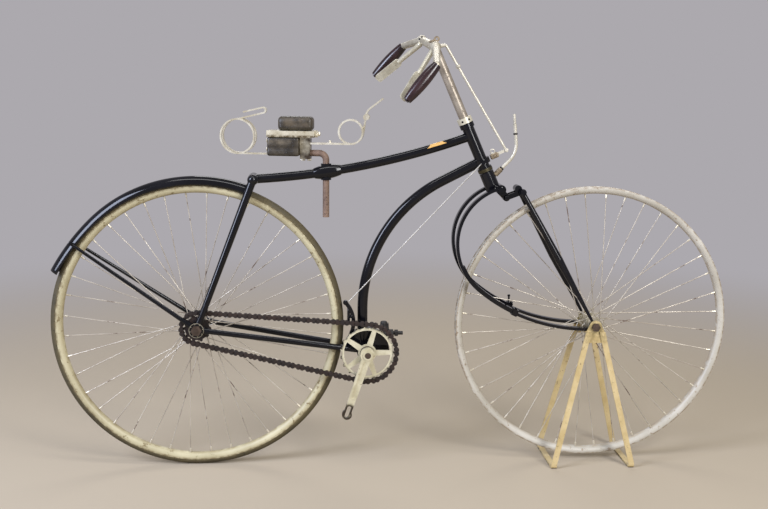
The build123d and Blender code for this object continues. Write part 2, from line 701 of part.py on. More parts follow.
def chain_bar(start, end, half_height, y_low, y_high):
    """Six-sided link plate or block between two pins."""
    run = hypot(end[0] - start[0], end[1] - start[1])
    tip = half_height
    outline = Polygon(
        (-tip, 0), (-tip / 2, half_height), (run + tip / 2, half_height),
        (run + tip, 0), (run + tip / 2, -half_height), (-tip / 2, -half_height), align=None,
    )
    turn = degrees(atan2(end[1] - start[1], end[0] - start[0]))
    return slab(Pos(*start) * Rot(0, 0, turn) * outline, y_low, y_high)


def chain():
    """Block chain: each block carries the two side plates that lead to the next block."""
    links = []
    length = CHAIN_LINKS * CHAIN_PITCH
    plate_low = BLOCK_HALF_WIDTH + PLATE_GAP
    plate_high = plate_low + PLATE_THICK
    for k in range(CHAIN_LINKS):
        middle = k * CHAIN_PITCH
        rear_pin = chain_point(middle - BLOCK_PINS / 2)
        front_pin = chain_point(middle + BLOCK_PINS / 2)
        next_pin = chain_point(middle + CHAIN_PITCH - BLOCK_PINS / 2)
        block_low, block_high = CHAIN_Y - BLOCK_HALF_WIDTH, CHAIN_Y + BLOCK_HALF_WIDTH
        link = chain_bar(rear_pin, front_pin, BLOCK_HALF_HEIGHT, block_low, block_high)
        pin = Pos(*front_pin) * RegularPolygon(CHAIN_PIN_RADIUS, 4)
        link += slab(pin, CHAIN_Y - plate_low, CHAIN_Y + plate_low)
        for side in (-1, 1):
            low, high = sorted((CHAIN_Y + side * plate_low, CHAIN_Y + side * plate_high))
            link += chain_bar(front_pin, next_pin, PLATE_HALF_HEIGHT, low, high)
        links.append(link)
    return group(links)


def toothed_disc(pitch_radius, teeth):
    """Outline with one short tooth for each block, held inside the blocks' path."""
    tip = pitch_radius - BLOCK_PINS**2 / 8 / pitch_radius - BLOCK_HALF_HEIGHT - TOOTH_GAP
    root = tip - TOOTH_HEIGHT
    corners = []
    for k in range(teeth):
        middle = 2 * pi * k / teeth
        for radius, half_width in ((root, -TOOTH_ROOT_HALF), (tip, -TOOTH_TIP_HALF),
                                   (tip, TOOTH_TIP_HALF), (root, TOOTH_ROOT_HALF)):
            angle = middle + half_width / radius
            corners.append((radius * cos(angle), radius * sin(angle)))
    return make_face(Polyline(*corners, close=True)), root


def chain_wheel_slab(outline, x, z):
    return slab(Pos(x, z) * outline, CHAIN_Y - WHEEL_THICK / 2, CHAIN_Y + WHEEL_THICK / 2)


def chainwheel():
    """Toothed ring on five tapered arms."""
    disc, root = toothed_disc(BIG_RADIUS, CHAINWHEEL_TEETH)
    inner = root - RING_HEIGHT
    reach = inner + 2
    arm = Polygon((0, -ARM_ROOT_HALF), (reach, -ARM_TIP_HALF), (reach, ARM_TIP_HALF), (0, ARM_ROOT_HALF),
                  align=None)
    step = 360 / CHAINWHEEL_ARMS
    spider = Circle(SPIDER_RADIUS) + [Rot(0, 0, ARM_TURN + step * k) * arm for k in range(CHAINWHEEL_ARMS)]
    outline = disc - Circle(inner) + spider - Circle(SPINDLE_RADIUS)
    return chain_wheel_slab(outline, BRACKET_X, BRACKET_Z)


def crank():
    """Flat crank, waisted toward its end, with a long pedal slot and a groove along its face."""
    arm = Polygon((0, -CRANK_ROOT_HALF), (CRANK_LENGTH, -CRANK_WAIST_HALF), (CRANK_LENGTH, CRANK_WAIST_HALF),
                  (0, CRANK_ROOT_HALF), align=None)
    outline = Circle(CRANK_EYE_RADIUS) + arm + Pos(CRANK_LENGTH, 0) * Circle(CRANK_END_RADIUS)
    outline -= Pos(CRANK_LENGTH - PEDAL_SLOT_INSET, 0) * SlotOverall(PEDAL_SLOT_LENGTH, PEDAL_SLOT_WIDTH)
    outline -= Circle(SPINDLE_RADIUS)
    groove_end = CRANK_LENGTH - PEDAL_SLOT_LENGTH - CRANK_END_RADIUS
    groove_length = groove_end - CRANK_EYE_RADIUS
    groove = Pos(CRANK_EYE_RADIUS + groove_length / 2, 0) * SlotOverall(groove_length, CRANK_WAIST_HALF)
    place = Pos(BRACKET_X, BRACKET_Z) * Rot(0, 0, CRANK_ANGLE)
    face_y = CRANK_Y - CRANK_THICK
    cut = slab(place * groove, face_y - 1, face_y + CRANK_GROOVE_DEPTH)
    return slab(place * outline, face_y, CRANK_Y) - cut


def spindle():
    """Crank spindle: it carries the right crank and chainwheel, and has a bare seat on the left."""
    right = CRANK_Y - CRANK_THICK - SPINDLE_END
    rod = cross_bar(BRACKET_X, BRACKET_Z, SPINDLE_RADIUS, right, LEFT_SEAT_Y)
    seat = cross_bar(BRACKET_X, BRACKET_Z, LEFT_SEAT_RADIUS, LEFT_SEAT_Y, LEFT_SEAT_Y + LEFT_SEAT_LENGTH)
    boss = cross_bar(BRACKET_X, BRACKET_Z, CRANK_EYE_RADIUS, CRANK_Y, CHAIN_Y - WHEEL_THICK / 2)
    return rod + seat + boss


def sprocket():
    disc, root = toothed_disc(SMALL_RADIUS, SPROCKET_TEETH)
    return chain_wheel_slab(disc - Circle(HUB_BARREL), REAR_X, HUB_Z)


# Saddle


def twisted(shape):
    """Turns the saddle about its pillar, as it sits in the lug."""
    return Pos(PILLAR_X, 0, 0) * Rot(0, 0, SADDLE_TWIST) * Pos(-PILLAR_X, 0, 0) * shape


def seat_pillar():
    corner = (PILLAR_X, PILLAR_Z)
    bottom = (PILLAR_X, PILLAR_Z - PILLAR_DROP)
    path = FilletPolyline(bottom, corner, (PILLAR_END_X, PILLAR_Z), radius=PILLAR_BEND)
    return twisted(tube(Plane.XZ * path, PILLAR_RADIUS))


def saddle_clamp():
    """Clamp on the pillar's arm, and the plate it holds between the two pads."""
    collar_front = PILLAR_END_X + SADDLE_COLLAR_LENGTH
    collar_low = PILLAR_Z - SADDLE_COLLAR_HALF
    plate_top = SADDLE_PLATE_Z + SADDLE_PLATE_THICK
    collar = box(PILLAR_END_X, collar_front, SADDLE_COLLAR_HALF, collar_low, SADDLE_PLATE_Z)
    plate = box(SADDLE_PLATE_BACK, SADDLE_PLATE_FRONT, SADDLE_PLATE_HALF, SADDLE_PLATE_Z, plate_top)
    arm_end = (PILLAR_END_X - 1, 0, PILLAR_Z)
    bore = taper(arm_end, (collar_front + 1, 0, PILLAR_Z), PILLAR_RADIUS, PILLAR_RADIUS)
    return twisted(collar + plate - bore)


def saddle_pads():
    """Leather packing blocks: a rounded one below the plate and a bevelled one above it."""
    low = PILLAR_Z - LOWER_PAD_DROP
    top = SADDLE_PLATE_Z + SADDLE_PLATE_THICK
    lower = box(SADDLE_PLATE_BACK, PILLAR_END_X - 1, LOWER_PAD_HALF, low, SADDLE_PLATE_Z)
    lower = fillet(lower.edges(), 4)
    upper_back = SADDLE_PLATE_BACK + UPPER_PAD_BACK
    upper_front = SADDLE_PLATE_FRONT - UPPER_PAD_FRONT
    upper = box(upper_back, upper_front, UPPER_PAD_HALF, top, top + UPPER_PAD_HEIGHT)
    upper = chamfer(upper.edges().group_by(Axis.Z)[-1], UPPER_PAD_BEVEL)
    return group([twisted(lower), twisted(upper)])


def coil_turn(x, z, radius, thick, y_low, y_high):
    """One whole turn of a flat ribbon."""
    return slab(Pos(x, z) * (Circle(radius) - Circle(radius - thick)), y_low, y_high)


def ribbon_foot(x_low, x_high, z, thick, y_low, y_high):
    return slab(Pos((x_low + x_high) / 2, z + thick / 2) * Rectangle(x_high - x_low, thick), y_low, y_high)


def rear_spring():
    """Ribbon spring: two turns side by side, and a top arm that folds back in a hook."""
    thick = REAR_SPRING_THICK
    x = PILLAR_X - REAR_COIL_BACK
    z = PILLAR_Z + REAR_COIL_RISE
    r = REAR_COIL_RADIUS
    near, far = REAR_SPRING_INNER, REAR_SPRING_INNER + REAR_SPRING_WIDTH
    shape = coil_turn(x, z, r, thick, -far, -near) + coil_turn(x, z, r, thick, near, far)
    shape += ribbon_foot(x, SADDLE_PLATE_BACK, z - r, thick, -far, -near)
    bridge_half = SPRING_BRIDGE / 2
    shape += ribbon_foot(x - bridge_half, x + bridge_half, z - r, thick, -near - 1, near + 1)
    arm = Polyline((x, z + r - thick), (x + REAR_HOOK_RUN, z + r + REAR_HOOK_RISE - thick))
    turn = JernArc(arm @ 1, arm % 1, REAR_HOOK_RADIUS, 180)
    back = Line(turn @ 1, (turn @ 1) + (turn % 1) * REAR_HOOK_BACK)
    shape += ribbon(Wire([*arm.edges(), turn, back]), thick, near, far)
    return twisted(shape)


def front_spring():
    """Ribbon spring: one turn, then a lane beside it that rises to the saddle's nose and its bolt."""
    thick = FRONT_SPRING_THICK
    x = PILLAR_X + FRONT_COIL_AHEAD
    z = PILLAR_Z + FRONT_COIL_RISE
    r = FRONT_COIL_RADIUS
    near, far = FRONT_SPRING_INNER, FRONT_SPRING_INNER + FRONT_SPRING_WIDTH
    shape = coil_turn(x, z, r, thick, -far, -near)
    shape += ribbon_foot(PILLAR_END_X + SADDLE_COLLAR_LENGTH, x, z - r, thick, -far, -near)
    bridge_half = SPRING_BRIDGE / 2
    shape += ribbon_foot(x - bridge_half, x + bridge_half, z - r, thick, -near - 1, near + 1)
    quarter = make_face([
        CenterArc((x, z), r, 270, 90), Line((x + r, z), (x + r - thick, z)),
        CenterArc((x, z), r - thick, 270, 90), Line((x, z - r), (x, z - r + thick)),
    ])
    rise = FilletPolyline((x + r, z - 4), (x + r + NOSE_LEAN, z + NOSE_RISE),
                          (x + r + NOSE_TIP_RUN, z + NOSE_TIP_RISE), radius=NOSE_BEND)
    nut_x = x + r + NOSE_LEAN * NOSE_NUT_RISE / NOSE_RISE
    nut = cross_bar(nut_x, z + NOSE_NUT_RISE, NOSE_NUT_RADIUS, near - 5, far + 5)
    return twisted(shape + slab(quarter, near, far) + ribbon(rise, thick, near, far) + nut)


# Fork, handlebar and stand


def blade_path():
    """Spring blade: from the crown back and down, then forward to the axle, in three tangent arcs."""
    back = (BLADE_BACK_X, BLADE_BACK_Z)
    upper = TangentArc(back, (BLADE_TOP_X, BLADE_TOP_Z), tangent=(0, 1))
    lower = TangentArc(back, (BLADE_BEND_X, BLADE_BEND_Z), tangent=(0, -1))
    foot = TangentArc(lower @ 1, (FRONT_X, HUB_Z - BLADE_THICK / 2), tangent=lower % 1)
    return upper, lower, foot


def spring_blade(side):
    upper, lower, foot = blade_path()
    band = make_face(Wire([upper, lower, foot]).offset_2d(BLADE_THICK, side=Side.LEFT))
    low, high = sorted((side * BLADE_Y, side * (BLADE_Y + BLADE_WIDTH)))
    blade = slab(band, low, high) + cross_bar(FRONT_X, HUB_Z, LEG_EYE_RADIUS, low, high)
    return blade - cross_bar(FRONT_X, HUB_Z, AXLE_RADIUS, low - 1, high + 1)


def spring_leaf(side):
    """Helper leaf along the inner face of a blade, held to it by a clip."""
    upper, lower, foot = blade_path()
    run = Wire([lower.trim(LEAF_START_SHARE, 1), foot.trim(0, LEAF_END_SHARE)])
    low, high = sorted((side * BLADE_Y, side * (BLADE_Y + BLADE_WIDTH)))
    leaf = ribbon(run, LEAF_THICK, low, high)
    end = foot @ LEAF_END_SHARE
    heading = foot % LEAF_END_SHARE
    inward = Vector(-heading.Y, heading.X)
    height = BLADE_THICK + LEAF_THICK + 2 * CLIP_WALL
    middle = end + inward * (LEAF_THICK - BLADE_THICK) / 2
    along = (heading.X, 0, heading.Y)
    plane = Plane(origin=(middle.X, 0, middle.Y), x_dir=along, z_dir=(inward.X, 0, inward.Y))
    middle_y = side * (BLADE_Y + BLADE_WIDTH / 2)
    clip_y = middle_y if plane.y_dir.Y > 0 else -middle_y
    clip = plane * Pos(-CLIP_LENGTH / 2, clip_y, 0) * Box(CLIP_LENGTH, BLADE_WIDTH + 2 * CLIP_WALL, height)
    return leaf + clip - spring_blade(side)


def fork_crown():
    """Crown forging with the steerer, the bar that takes both blades and the knuckle of the link."""
    on_base = (Align.CENTER, Align.CENTER, Align.MIN)
    steerer_low = HEAD_BOTTOM - CROWN_DROP / 2
    steerer_length = HEAD_TOP + CLAMP_HEIGHT + 1 - steerer_low
    steerer = HEAD * Pos(0, 0, steerer_low) * Cylinder(STEERER_RADIUS, steerer_length, align=on_base)
    body = Cylinder(CUP_RADIUS, CROWN_DROP - CROWN_GAP, align=on_base)
    body = HEAD * Pos(0, 0, HEAD_BOTTOM - CROWN_DROP) * body
    bar_half = BLADE_Y + BLADE_WIDTH
    bar = cross_bar(BLADE_TOP_X, BLADE_TOP_Z, CROWN_BAR_RADIUS, -bar_half, bar_half)
    knuckle = cross_bar(KNUCKLE_X, KNUCKLE_Z, KNUCKLE_RADIUS, -KNUCKLE_RADIUS, KNUCKLE_RADIUS)
    bar_middle = (BLADE_TOP_X, 0, BLADE_TOP_Z)
    arm = taper(bar_middle, (KNUCKLE_X, 0, KNUCKLE_Z), KNUCKLE_RADIUS + 1, KNUCKLE_RADIUS - 1)
    neck_x, neck_z = head_point(0, HEAD_BOTTOM - CROWN_DROP + CROWN_BAR_RADIUS)
    neck = taper((neck_x, 0, neck_z), bar_middle, CROWN_BAR_RADIUS - 1, CROWN_BAR_RADIUS - 1)
    return steerer + body + bar + knuckle + arm + neck - spring_blade(1) - spring_blade(-1)


def front_legs():
    """Two straight tapered legs from the link's pin to the axle, each with a flat eye."""
    top = Vector(LINK_X, LEG_TOP_Y, LINK_Z)
    bottom = Vector(FRONT_X, LEG_EYE_Y + LEG_EYE_THICK / 2, HUB_Z)
    middle = (top + bottom) / 2
    leg = taper(tuple(top), tuple(middle), LEG_END_RADIUS, LEG_MID_RADIUS)
    leg += taper(tuple(middle), tuple(bottom), LEG_MID_RADIUS, LEG_EYE_THICK / 2)
    leg -= cross_bar(FRONT_X, HUB_Z, LEG_EYE_RADIUS + 1, 0, LEG_EYE_Y)
    leg += cross_bar(LINK_X, LINK_Z, LEG_TOP_EYE, LEG_TOP_Y - LEG_TOP_HALF, LEG_TOP_Y + LEG_TOP_HALF)
    leg += cross_bar(FRONT_X, HUB_Z, LEG_EYE_RADIUS, LEG_EYE_Y, LEG_EYE_Y + LEG_EYE_THICK)
    leg -= cross_bar(LINK_X, LINK_Z, LINK_PIN_RADIUS, 0, 2 * LEG_EYE_Y)
    leg -= cross_bar(FRONT_X, HUB_Z, AXLE_RADIUS, 0, 2 * LEG_EYE_Y)
    return group(both_sides(leg))


def fork_link():
    """Shackle from the crown's knuckle to the pin that carries the legs, with its oil cap."""
    pin_half = LEG_TOP_Y + LEG_TOP_HALF + LINK_PIN_END
    inner = KNUCKLE_RADIUS
    outer = inner + LINK_PLATE_THICK
    half = LINK_PLATE_HALF
    plate = Polygon((KNUCKLE_X, KNUCKLE_Z - half), (LINK_X, LINK_Z - half), (LINK_X, LINK_Z + half),
                    (KNUCKLE_X, KNUCKLE_Z + half), align=None)
    shape = slab(plate, inner, outer) + slab(plate, -outer, -inner)
    shape += cross_bar(LINK_X, LINK_Z, LINK_PIN_RADIUS, -pin_half, pin_half)
    shape += cross_bar(LINK_X, LINK_Z, LINK_BOSS_RADIUS, -outer, outer)
    shape += cross_bar(LINK_X - LINK_KNOB_BACK, LINK_Z + LINK_KNOB_RISE, LINK_KNOB_RADIUS, -outer, outer)
    return shape


def clamp_ring():
    ring = Cylinder(CLAMP_RADIUS, CLAMP_HEIGHT) - Cylinder(STEERER_RADIUS, CLAMP_HEIGHT)
    return HEAD * Pos(0, 0, HEAD_TOP + 1 + CLAMP_HEIGHT / 2) * ring


def stem():
    start = HEAD_TOP + CLAMP_HEIGHT + 1
    on_base = (Align.CENTER, Align.CENTER, Align.MIN)
    return HEAD * Pos(0, 0, start) * Cylinder(STEM_RADIUS, STEM_TOP - start, align=on_base) - bar_body()


def at_stem_top(shape):
    """Sets what is drawn round the bar's middle on the stem, with the tilt and turn it has there."""
    z = HEAD_Z + STEM_TOP * HEAD_COS
    return Pos(head_x(z), 0, z) * Rot(BAR_ROLL, 0, BAR_SKEW) * shape


def bar_body():
    """Cross head with a socket at each end, and the bar that sweeps out and back to the grips."""
    half = taper((0, 0, 0), BAR_SOCKET, BAR_RADIUS + 2, BAR_RADIUS)
    half += Pos(*BAR_SOCKET) * Sphere(BAR_SOCKET_RADIUS)
    half += taper(BAR_SOCKET, BAR_ELBOW, BAR_RADIUS, BAR_RADIUS - 1)
    half += Pos(*BAR_ELBOW) * Sphere(BAR_RADIUS - 1)
    half += taper(BAR_ELBOW, BAR_END, BAR_RADIUS - 1, BAR_RADIUS - 2)
    return at_stem_top(Sphere(BAR_HEAD_RADIUS) + both_sides(half))


def grips():
    """Spindle-shaped grips pushed on the ends of the bar."""
    run = Vector(*BAR_END) - Vector(*BAR_ELBOW)
    length = run.length + GRIP_OVERHANG
    swell = ThreePointArc((GRIP_ROOT_RADIUS, 0), (GRIP_RADIUS, length / 2), (GRIP_TIP_RADIUS, length))
    core = Polyline((GRIP_TIP_RADIUS, length), (0, length), (0, 0), (GRIP_ROOT_RADIUS, 0))
    outline = make_face([swell, core])
    grip = Plane(origin=BAR_ELBOW, z_dir=run) * revolve(Plane.XZ * outline, axis=Axis.Z)
    return group([at_stem_top(side) - bar_body() for side in both_sides(grip)])


def brake_levers():
    """Hand levers inside the grips: a round shank from each socket and a flat palm."""
    root = Vector(*LEVER_ROOT)
    run = Vector(*LEVER_TIP) - root
    heel = root + run * PALM_SHARE
    lever = taper(tuple(root), tuple(heel), LEVER_RADIUS, LEVER_RADIUS - 1)
    across = run.cross(Vector(0, 1, 0))
    plane = Plane(origin=tuple(root + run * (1 + PALM_SHARE) / 2), x_dir=across, z_dir=run)
    length = run.length * (1 - PALM_SHARE) + LEVER_RADIUS
    lever += plane * fillet(Box(PALM_WIDTH, PALM_THICK, length).edges().filter_by(Axis.Y), PALM_WIDTH / 3)
    lever += taper(BAR_SOCKET, tuple(root), LEVER_RADIUS, LEVER_RADIUS)
    lever += Pos(*LEVER_ROOT) * Sphere(LEVER_RADIUS)
    return group([at_stem_top(side) - bar_body() for side in both_sides(lever)])


def strap_foot(x):
    """Flat run of a strap across the floor, bent up at both ends."""
    half = STRAP_WIDTH / 2
    inner_y = STRAP_FOOT_Y - STRAP_THICK
    foot = box(x - half, x + half, STRAP_FOOT_Y, 0, STRAP_FOOT_HEIGHT)
    foot -= box(x - half, x + half, inner_y, STRAP_THICK, STRAP_FOOT_HEIGHT)
    floor_edges = foot.edges().filter_by(Axis.X).group_by(Axis.Z)[0]
    foot = fillet(floor_edges.filter_by(lambda edge: abs(edge.center().Y) > inner_y), STRAP_BEND)
    inner_edges = foot.edges().filter_by(Axis.X)
    corners = inner_edges.filter_by(lambda edge: abs(edge.center().Z - STRAP_THICK) < 0.01)
    return fillet(corners, STRAP_BEND - STRAP_THICK)


def strap(direction):
    """Bent strap leg: down both sides of the wheel, and flat across the floor between its feet."""
    top_y = STAND_PLATE_Y + STAND_PLATE_THICK
    top_x = FRONT_X + direction * STRAP_TOP_X
    foot_x = FRONT_X + direction * STRAP_FOOT_X
    top_z = HUB_Z - STRAP_TOP_DROP
    knee_z = HUB_Z - STAND_PLATE_DROP
    knee_x = top_x + (foot_x - top_x) * (top_z - knee_z) / (top_z - STRAP_FOOT_HEIGHT)
    # columns: x, inner y, z
    stations = (
        (top_x, top_y, top_z),
        (knee_x, top_y, knee_z),
        (foot_x, STRAP_FOOT_Y - STRAP_THICK, STRAP_FOOT_HEIGHT),
    )
    strip = Rectangle(STRAP_WIDTH, STRAP_THICK)
    sections = [Pos(x, inner_y + STRAP_THICK / 2, z) * strip for x, inner_y, z in stations]
    leg = loft(sections[:2], ruled=True) + loft(sections[1:], ruled=True)
    return strap_foot(foot_x) + both_sides(leg)


def stand_plates():
    """Side plates on the axle that the straps are riveted to."""
    half = STAND_PLATE_HALF
    shoulder = -STAND_PLATE_SHOULDER
    bell = Polygon((-half, -STAND_PLATE_DROP), (half, -STAND_PLATE_DROP), (half, shoulder),
                   (STAND_PLATE_RADIUS * 0.8, -shoulder * 0.7), (-STAND_PLATE_RADIUS * 0.8, -shoulder * 0.7),
                   (-half, shoulder), align=None)
    outline = Circle(STAND_PLATE_RADIUS) + bell - Circle(AXLE_RADIUS)
    plate = slab(Pos(FRONT_X, HUB_Z) * outline, STAND_PLATE_Y, STAND_PLATE_Y + STAND_PLATE_THICK)
    return group(both_sides(plate))


def lamp_bracket():
    """Bent rod from the crown that ends in the pin of a lamp."""
    corner = head_point(LAMP_ELBOW_AHEAD, LAMP_ELBOW_ALONG)
    tip = head_point(LAMP_TIP_AHEAD, LAMP_TIP_ALONG)
    path = FilletPolyline(head_point(0, HEAD_BOTTOM - CROWN_DROP / 2), corner, tip, radius=LAMP_ROD_BEND)
    rod = tube(Plane.XZ * path, LAMP_ROD_RADIUS)
    heading = (Vector(*tip) - Vector(*corner)).normalized()
    pin_end = Vector(*tip) + heading * LAMP_PIN_LENGTH
    pin = taper((tip[0], 0, tip[1]), (pin_end.X, 0, pin_end.Y), LAMP_PIN_RADIUS, LAMP_PIN_RADIUS)
    return rod + pin - fork_crown()


def brake_rod():
    """Pull rod ahead of the head, with the arm that reaches back toward the collar."""
    top_x, top_z = head_point(BRAKE_ROD_TOP_AHEAD, STEM_TOP - BRAKE_ROD_TOP_DROP)
    low_x, low_z = head_point(BRAKE_ROD_AHEAD, BRAKE_ARM_ALONG)
    rod = taper((top_x, 0, top_z), (low_x, 0, low_z), BRAKE_ROD_RADIUS, BRAKE_ROD_RADIUS)
    eye = cross_bar(low_x, low_z, BRAKE_ROD_RADIUS + 2, -6, 6)
    arm_mid = BRAKE_ROD_AHEAD - BRAKE_ARM_LENGTH / 2
    arm = HEAD * Pos(arm_mid, 0, BRAKE_ARM_ALONG) * Box(BRAKE_ARM_LENGTH, 8, 7)
    stem_x, stem_z = head_point(0, STEM_TOP)
    handle = taper((stem_x, 0, stem_z), (top_x, 0, top_z), BRAKE_ROD_RADIUS + 2, BRAKE_ROD_RADIUS + 1)
    return rod + eye + arm + handle - bar_body()


def wire_ends():
    """The wire's upper end in the collar's lug and its lower end in the lever's tip."""
    upper = head_point(0, BRAKE_COLLAR_S + BRAKE_COLLAR_HEIGHT / 2)
    lower = (REAR_EDGE + SPOON_GAP + SPOON_THICK, BRACKET_Z + PEDAL_LEVER_TOP - 5)
    return upper, lower


def brake_wire():
    upper, lower = wire_ends()
    start = (upper[0], -BRAKE_WIRE_Y, upper[1])
    end = (lower[0], -BRAKE_WIRE_Y, lower[1])
    return taper(start, end, BRAKE_WIRE_RADIUS, BRAKE_WIRE_RADIUS) - brake_collar()


def rear_brake_lever():
    """Lever pivoted on the bracket casting, with a spoon ahead of the tyre."""
    pivot_x = BRACKET_X - PEDAL_LEVER_BACK
    pivot_z = BRACKET_Z + PEDAL_LEVER_RISE
    top_x = REAR_EDGE + SPOON_GAP
    rise = Polyline((pivot_x, pivot_z), (top_x, BRACKET_Z + PEDAL_LEVER_TOP))
    arm = ribbon(rise, PEDAL_LEVER_THICK, -BRAKE_WIRE_Y - 4, -BRAKE_WIRE_Y + 4)
    pivot = cross_bar(pivot_x, pivot_z, PEDAL_LEVER_THICK + 1, -BRAKE_WIRE_Y - 5, -BRACKET_DISC_HALF)
    spoon_x = top_x + SPOON_THICK / 2
    spoon = Pos(spoon_x, BRACKET_Z + SPOON_RISE) * Rectangle(SPOON_THICK, SPOON_HEIGHT)
    spoon = slab(spoon, -BRAKE_WIRE_Y - 3, SPOON_END_Y)
    return arm + pivot + spoon - brake_wire()


NODES = {
    "fork_crown": fork_crown,
    "fork_link": fork_link,
    "spring_blade_right": lambda: spring_blade(-1),
    "spring_blade_left": lambda: spring_blade(1),
    "spring_leaves": lambda: group([spring_leaf(-1), spring_leaf(1)]),
    "front_legs": front_legs,
    "head_clamp_ring": clamp_ring,
    "stem": stem,
    "handlebar": bar_body,
    "grips": grips,
    "brake_levers": brake_levers,
    "brake_rod": brake_rod,
    "lamp_bracket": lamp_bracket,
    "front_axle": lambda: axle(FRONT_X, STAND_PLATE_Y + STAND_PLATE_THICK, FRONT_NUT_RADIUS),
    "stand_strap_front": lambda: strap(1),
    "stand_strap_rear": lambda: strap(-1),
    "stand_plates": stand_plates,
    "front_rim": lambda: rim(FRONT_X),
    "front_hub": lambda: hub_with_spokes(FRONT_X, BLADE_Y - HUB_SIDE_GAP),
    "head_tube": head_tube,
    "backbone_tube": backbone,
    "seat_lug": seat_lug,
    "down_tube": down_tube,
    "bottom_bracket": bottom_bracket,
    "chain_adjuster": chain_adjuster,
    "chain_stays": chain_stays,
    "seat_stays": seat_stays,
    "rear_fork_ends": fork_ends,
    "rear_axle": lambda: axle(REAR_X, FORK_END_Y + FORK_END_THICK, AXLE_NUT_RADIUS),
    "mudguard": mudguard,
    "mudguard_stays": mudguard_stays,
    "brake_collar": brake_collar,
    "brake_wire": brake_wire,
    "rear_brake_lever": rear_brake_lever,
    "chain": chain,
    "seat_pillar": seat_pillar,
    "saddle_clamp": saddle_clamp,
    "saddle_pads": saddle_pads,
    "saddle_rear_spring": rear_spring,
    "saddle_front_spring": front_spring,
    "rear_rim": lambda: rim(REAR_X),
    "rear_tyre": lambda: tyre(REAR_X),
    "rear_hub": lambda: hub_with_spokes(REAR_X, FORK_END_Y - HUB_SIDE_GAP),
    "rear_sprocket": sprocket,
    "chainwheel": chainwheel,
    "crank_right": crank,
    "crank_spindle": spindle,
}

if __name__ == "__main__":
    os.makedirs("parts", exist_ok=True)
    for name, make in NODES.items():
        save(name, make())
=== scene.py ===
import bpy
import bmesh
from math import asin, atan2, cos, pi, radians, sin, sqrt
from mathutils import Matrix, Vector


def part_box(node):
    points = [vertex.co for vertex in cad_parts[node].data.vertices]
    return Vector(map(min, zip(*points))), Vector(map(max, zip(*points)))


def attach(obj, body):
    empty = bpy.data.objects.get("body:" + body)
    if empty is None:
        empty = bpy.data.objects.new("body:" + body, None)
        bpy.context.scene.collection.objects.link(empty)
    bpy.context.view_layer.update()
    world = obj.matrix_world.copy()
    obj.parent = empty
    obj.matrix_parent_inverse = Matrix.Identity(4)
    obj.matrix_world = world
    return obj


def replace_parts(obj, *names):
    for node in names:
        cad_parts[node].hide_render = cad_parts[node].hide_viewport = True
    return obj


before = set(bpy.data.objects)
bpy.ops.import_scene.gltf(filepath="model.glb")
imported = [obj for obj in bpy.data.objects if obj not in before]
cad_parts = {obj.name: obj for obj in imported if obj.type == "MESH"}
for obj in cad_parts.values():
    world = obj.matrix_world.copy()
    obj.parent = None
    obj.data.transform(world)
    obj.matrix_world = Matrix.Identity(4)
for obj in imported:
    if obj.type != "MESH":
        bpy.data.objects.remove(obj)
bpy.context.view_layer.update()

# Camera at the photograph's viewpoint: level with the handlebar, a little behind the middle of the bicycle
# and looking slightly down. The lens comes from a 768 pixel wide picture on a 36 mm sensor, angles in radians.
focal_px = 1072.6
picture_width = 768
sensor_mm = 36.0
yaw, pitch, roll = 0.0763, 0.1702, -0.0109
camera_place = Vector((-0.242, -2.777, 1.046))
ahead = Vector((sin(yaw) * cos(pitch), cos(yaw) * cos(pitch), -sin(pitch)))
level = Vector((cos(yaw), -sin(yaw), 0.0))
down = ahead.cross(level)
right = level * cos(roll) + down * sin(roll)
up = level * sin(roll) - down * cos(roll)
camera_data = bpy.data.cameras.new("studio_camera")
camera_data.sensor_width = sensor_mm
camera_data.lens = focal_px * sensor_mm / picture_width
camera = bpy.data.objects.new("studio_camera", camera_data)
turn = Matrix((right, up, -ahead)).transposed().to_4x4()
camera.matrix_world = Matrix.Translation(camera_place) @ turn
bpy.context.scene.collection.objects.link(camera)
bpy.context.scene.camera = camera
bpy.context.scene.view_settings.view_transform = "Standard"


# Studio floor: one matt warm grey sheet that takes the shadow near the wheels and fades into the
# lilac grey of the paper behind it, so that no edge shows from any side.
def paint(code):
    """A colour written as six sRGB hex digits, in linear light."""
    parts = [int(code[i:i + 2], 16) / 255 for i in (0, 2, 4)]
    return [p / 12.92 if p <= 0.04045 else ((p + 0.055) / 1.055) ** 2.4 for p in parts] + [1.0]


def add(tree, kind, sets=None, links=None):
    """Adds one node, sets its options and sockets, and links its inputs."""
    made = tree.nodes.new(kind)
    for key, value in (sets or {}).items():
        if isinstance(key, int) or key in made.inputs:
            made.inputs[key].default_value = value
        else:
            setattr(made, key, value)
    for key, source in (links or {}).items():
        tree.links.new(source, made.inputs[key])
    return made


paper_grey = paint("ACA9AE")
floor_grey = paint("A99D8B")
floor_half = 30.0
fade_start, fade_end = 1.2, 3.6
mesh = bmesh.new()
bmesh.ops.create_grid(mesh, x_segments=1, y_segments=1, size=floor_half)
floor_mesh = bpy.data.meshes.new("studio_floor")
mesh.to_mesh(floor_mesh)
mesh.free()
floor = bpy.data.objects.new("studio_floor", floor_mesh)
bpy.context.scene.collection.objects.link(floor)
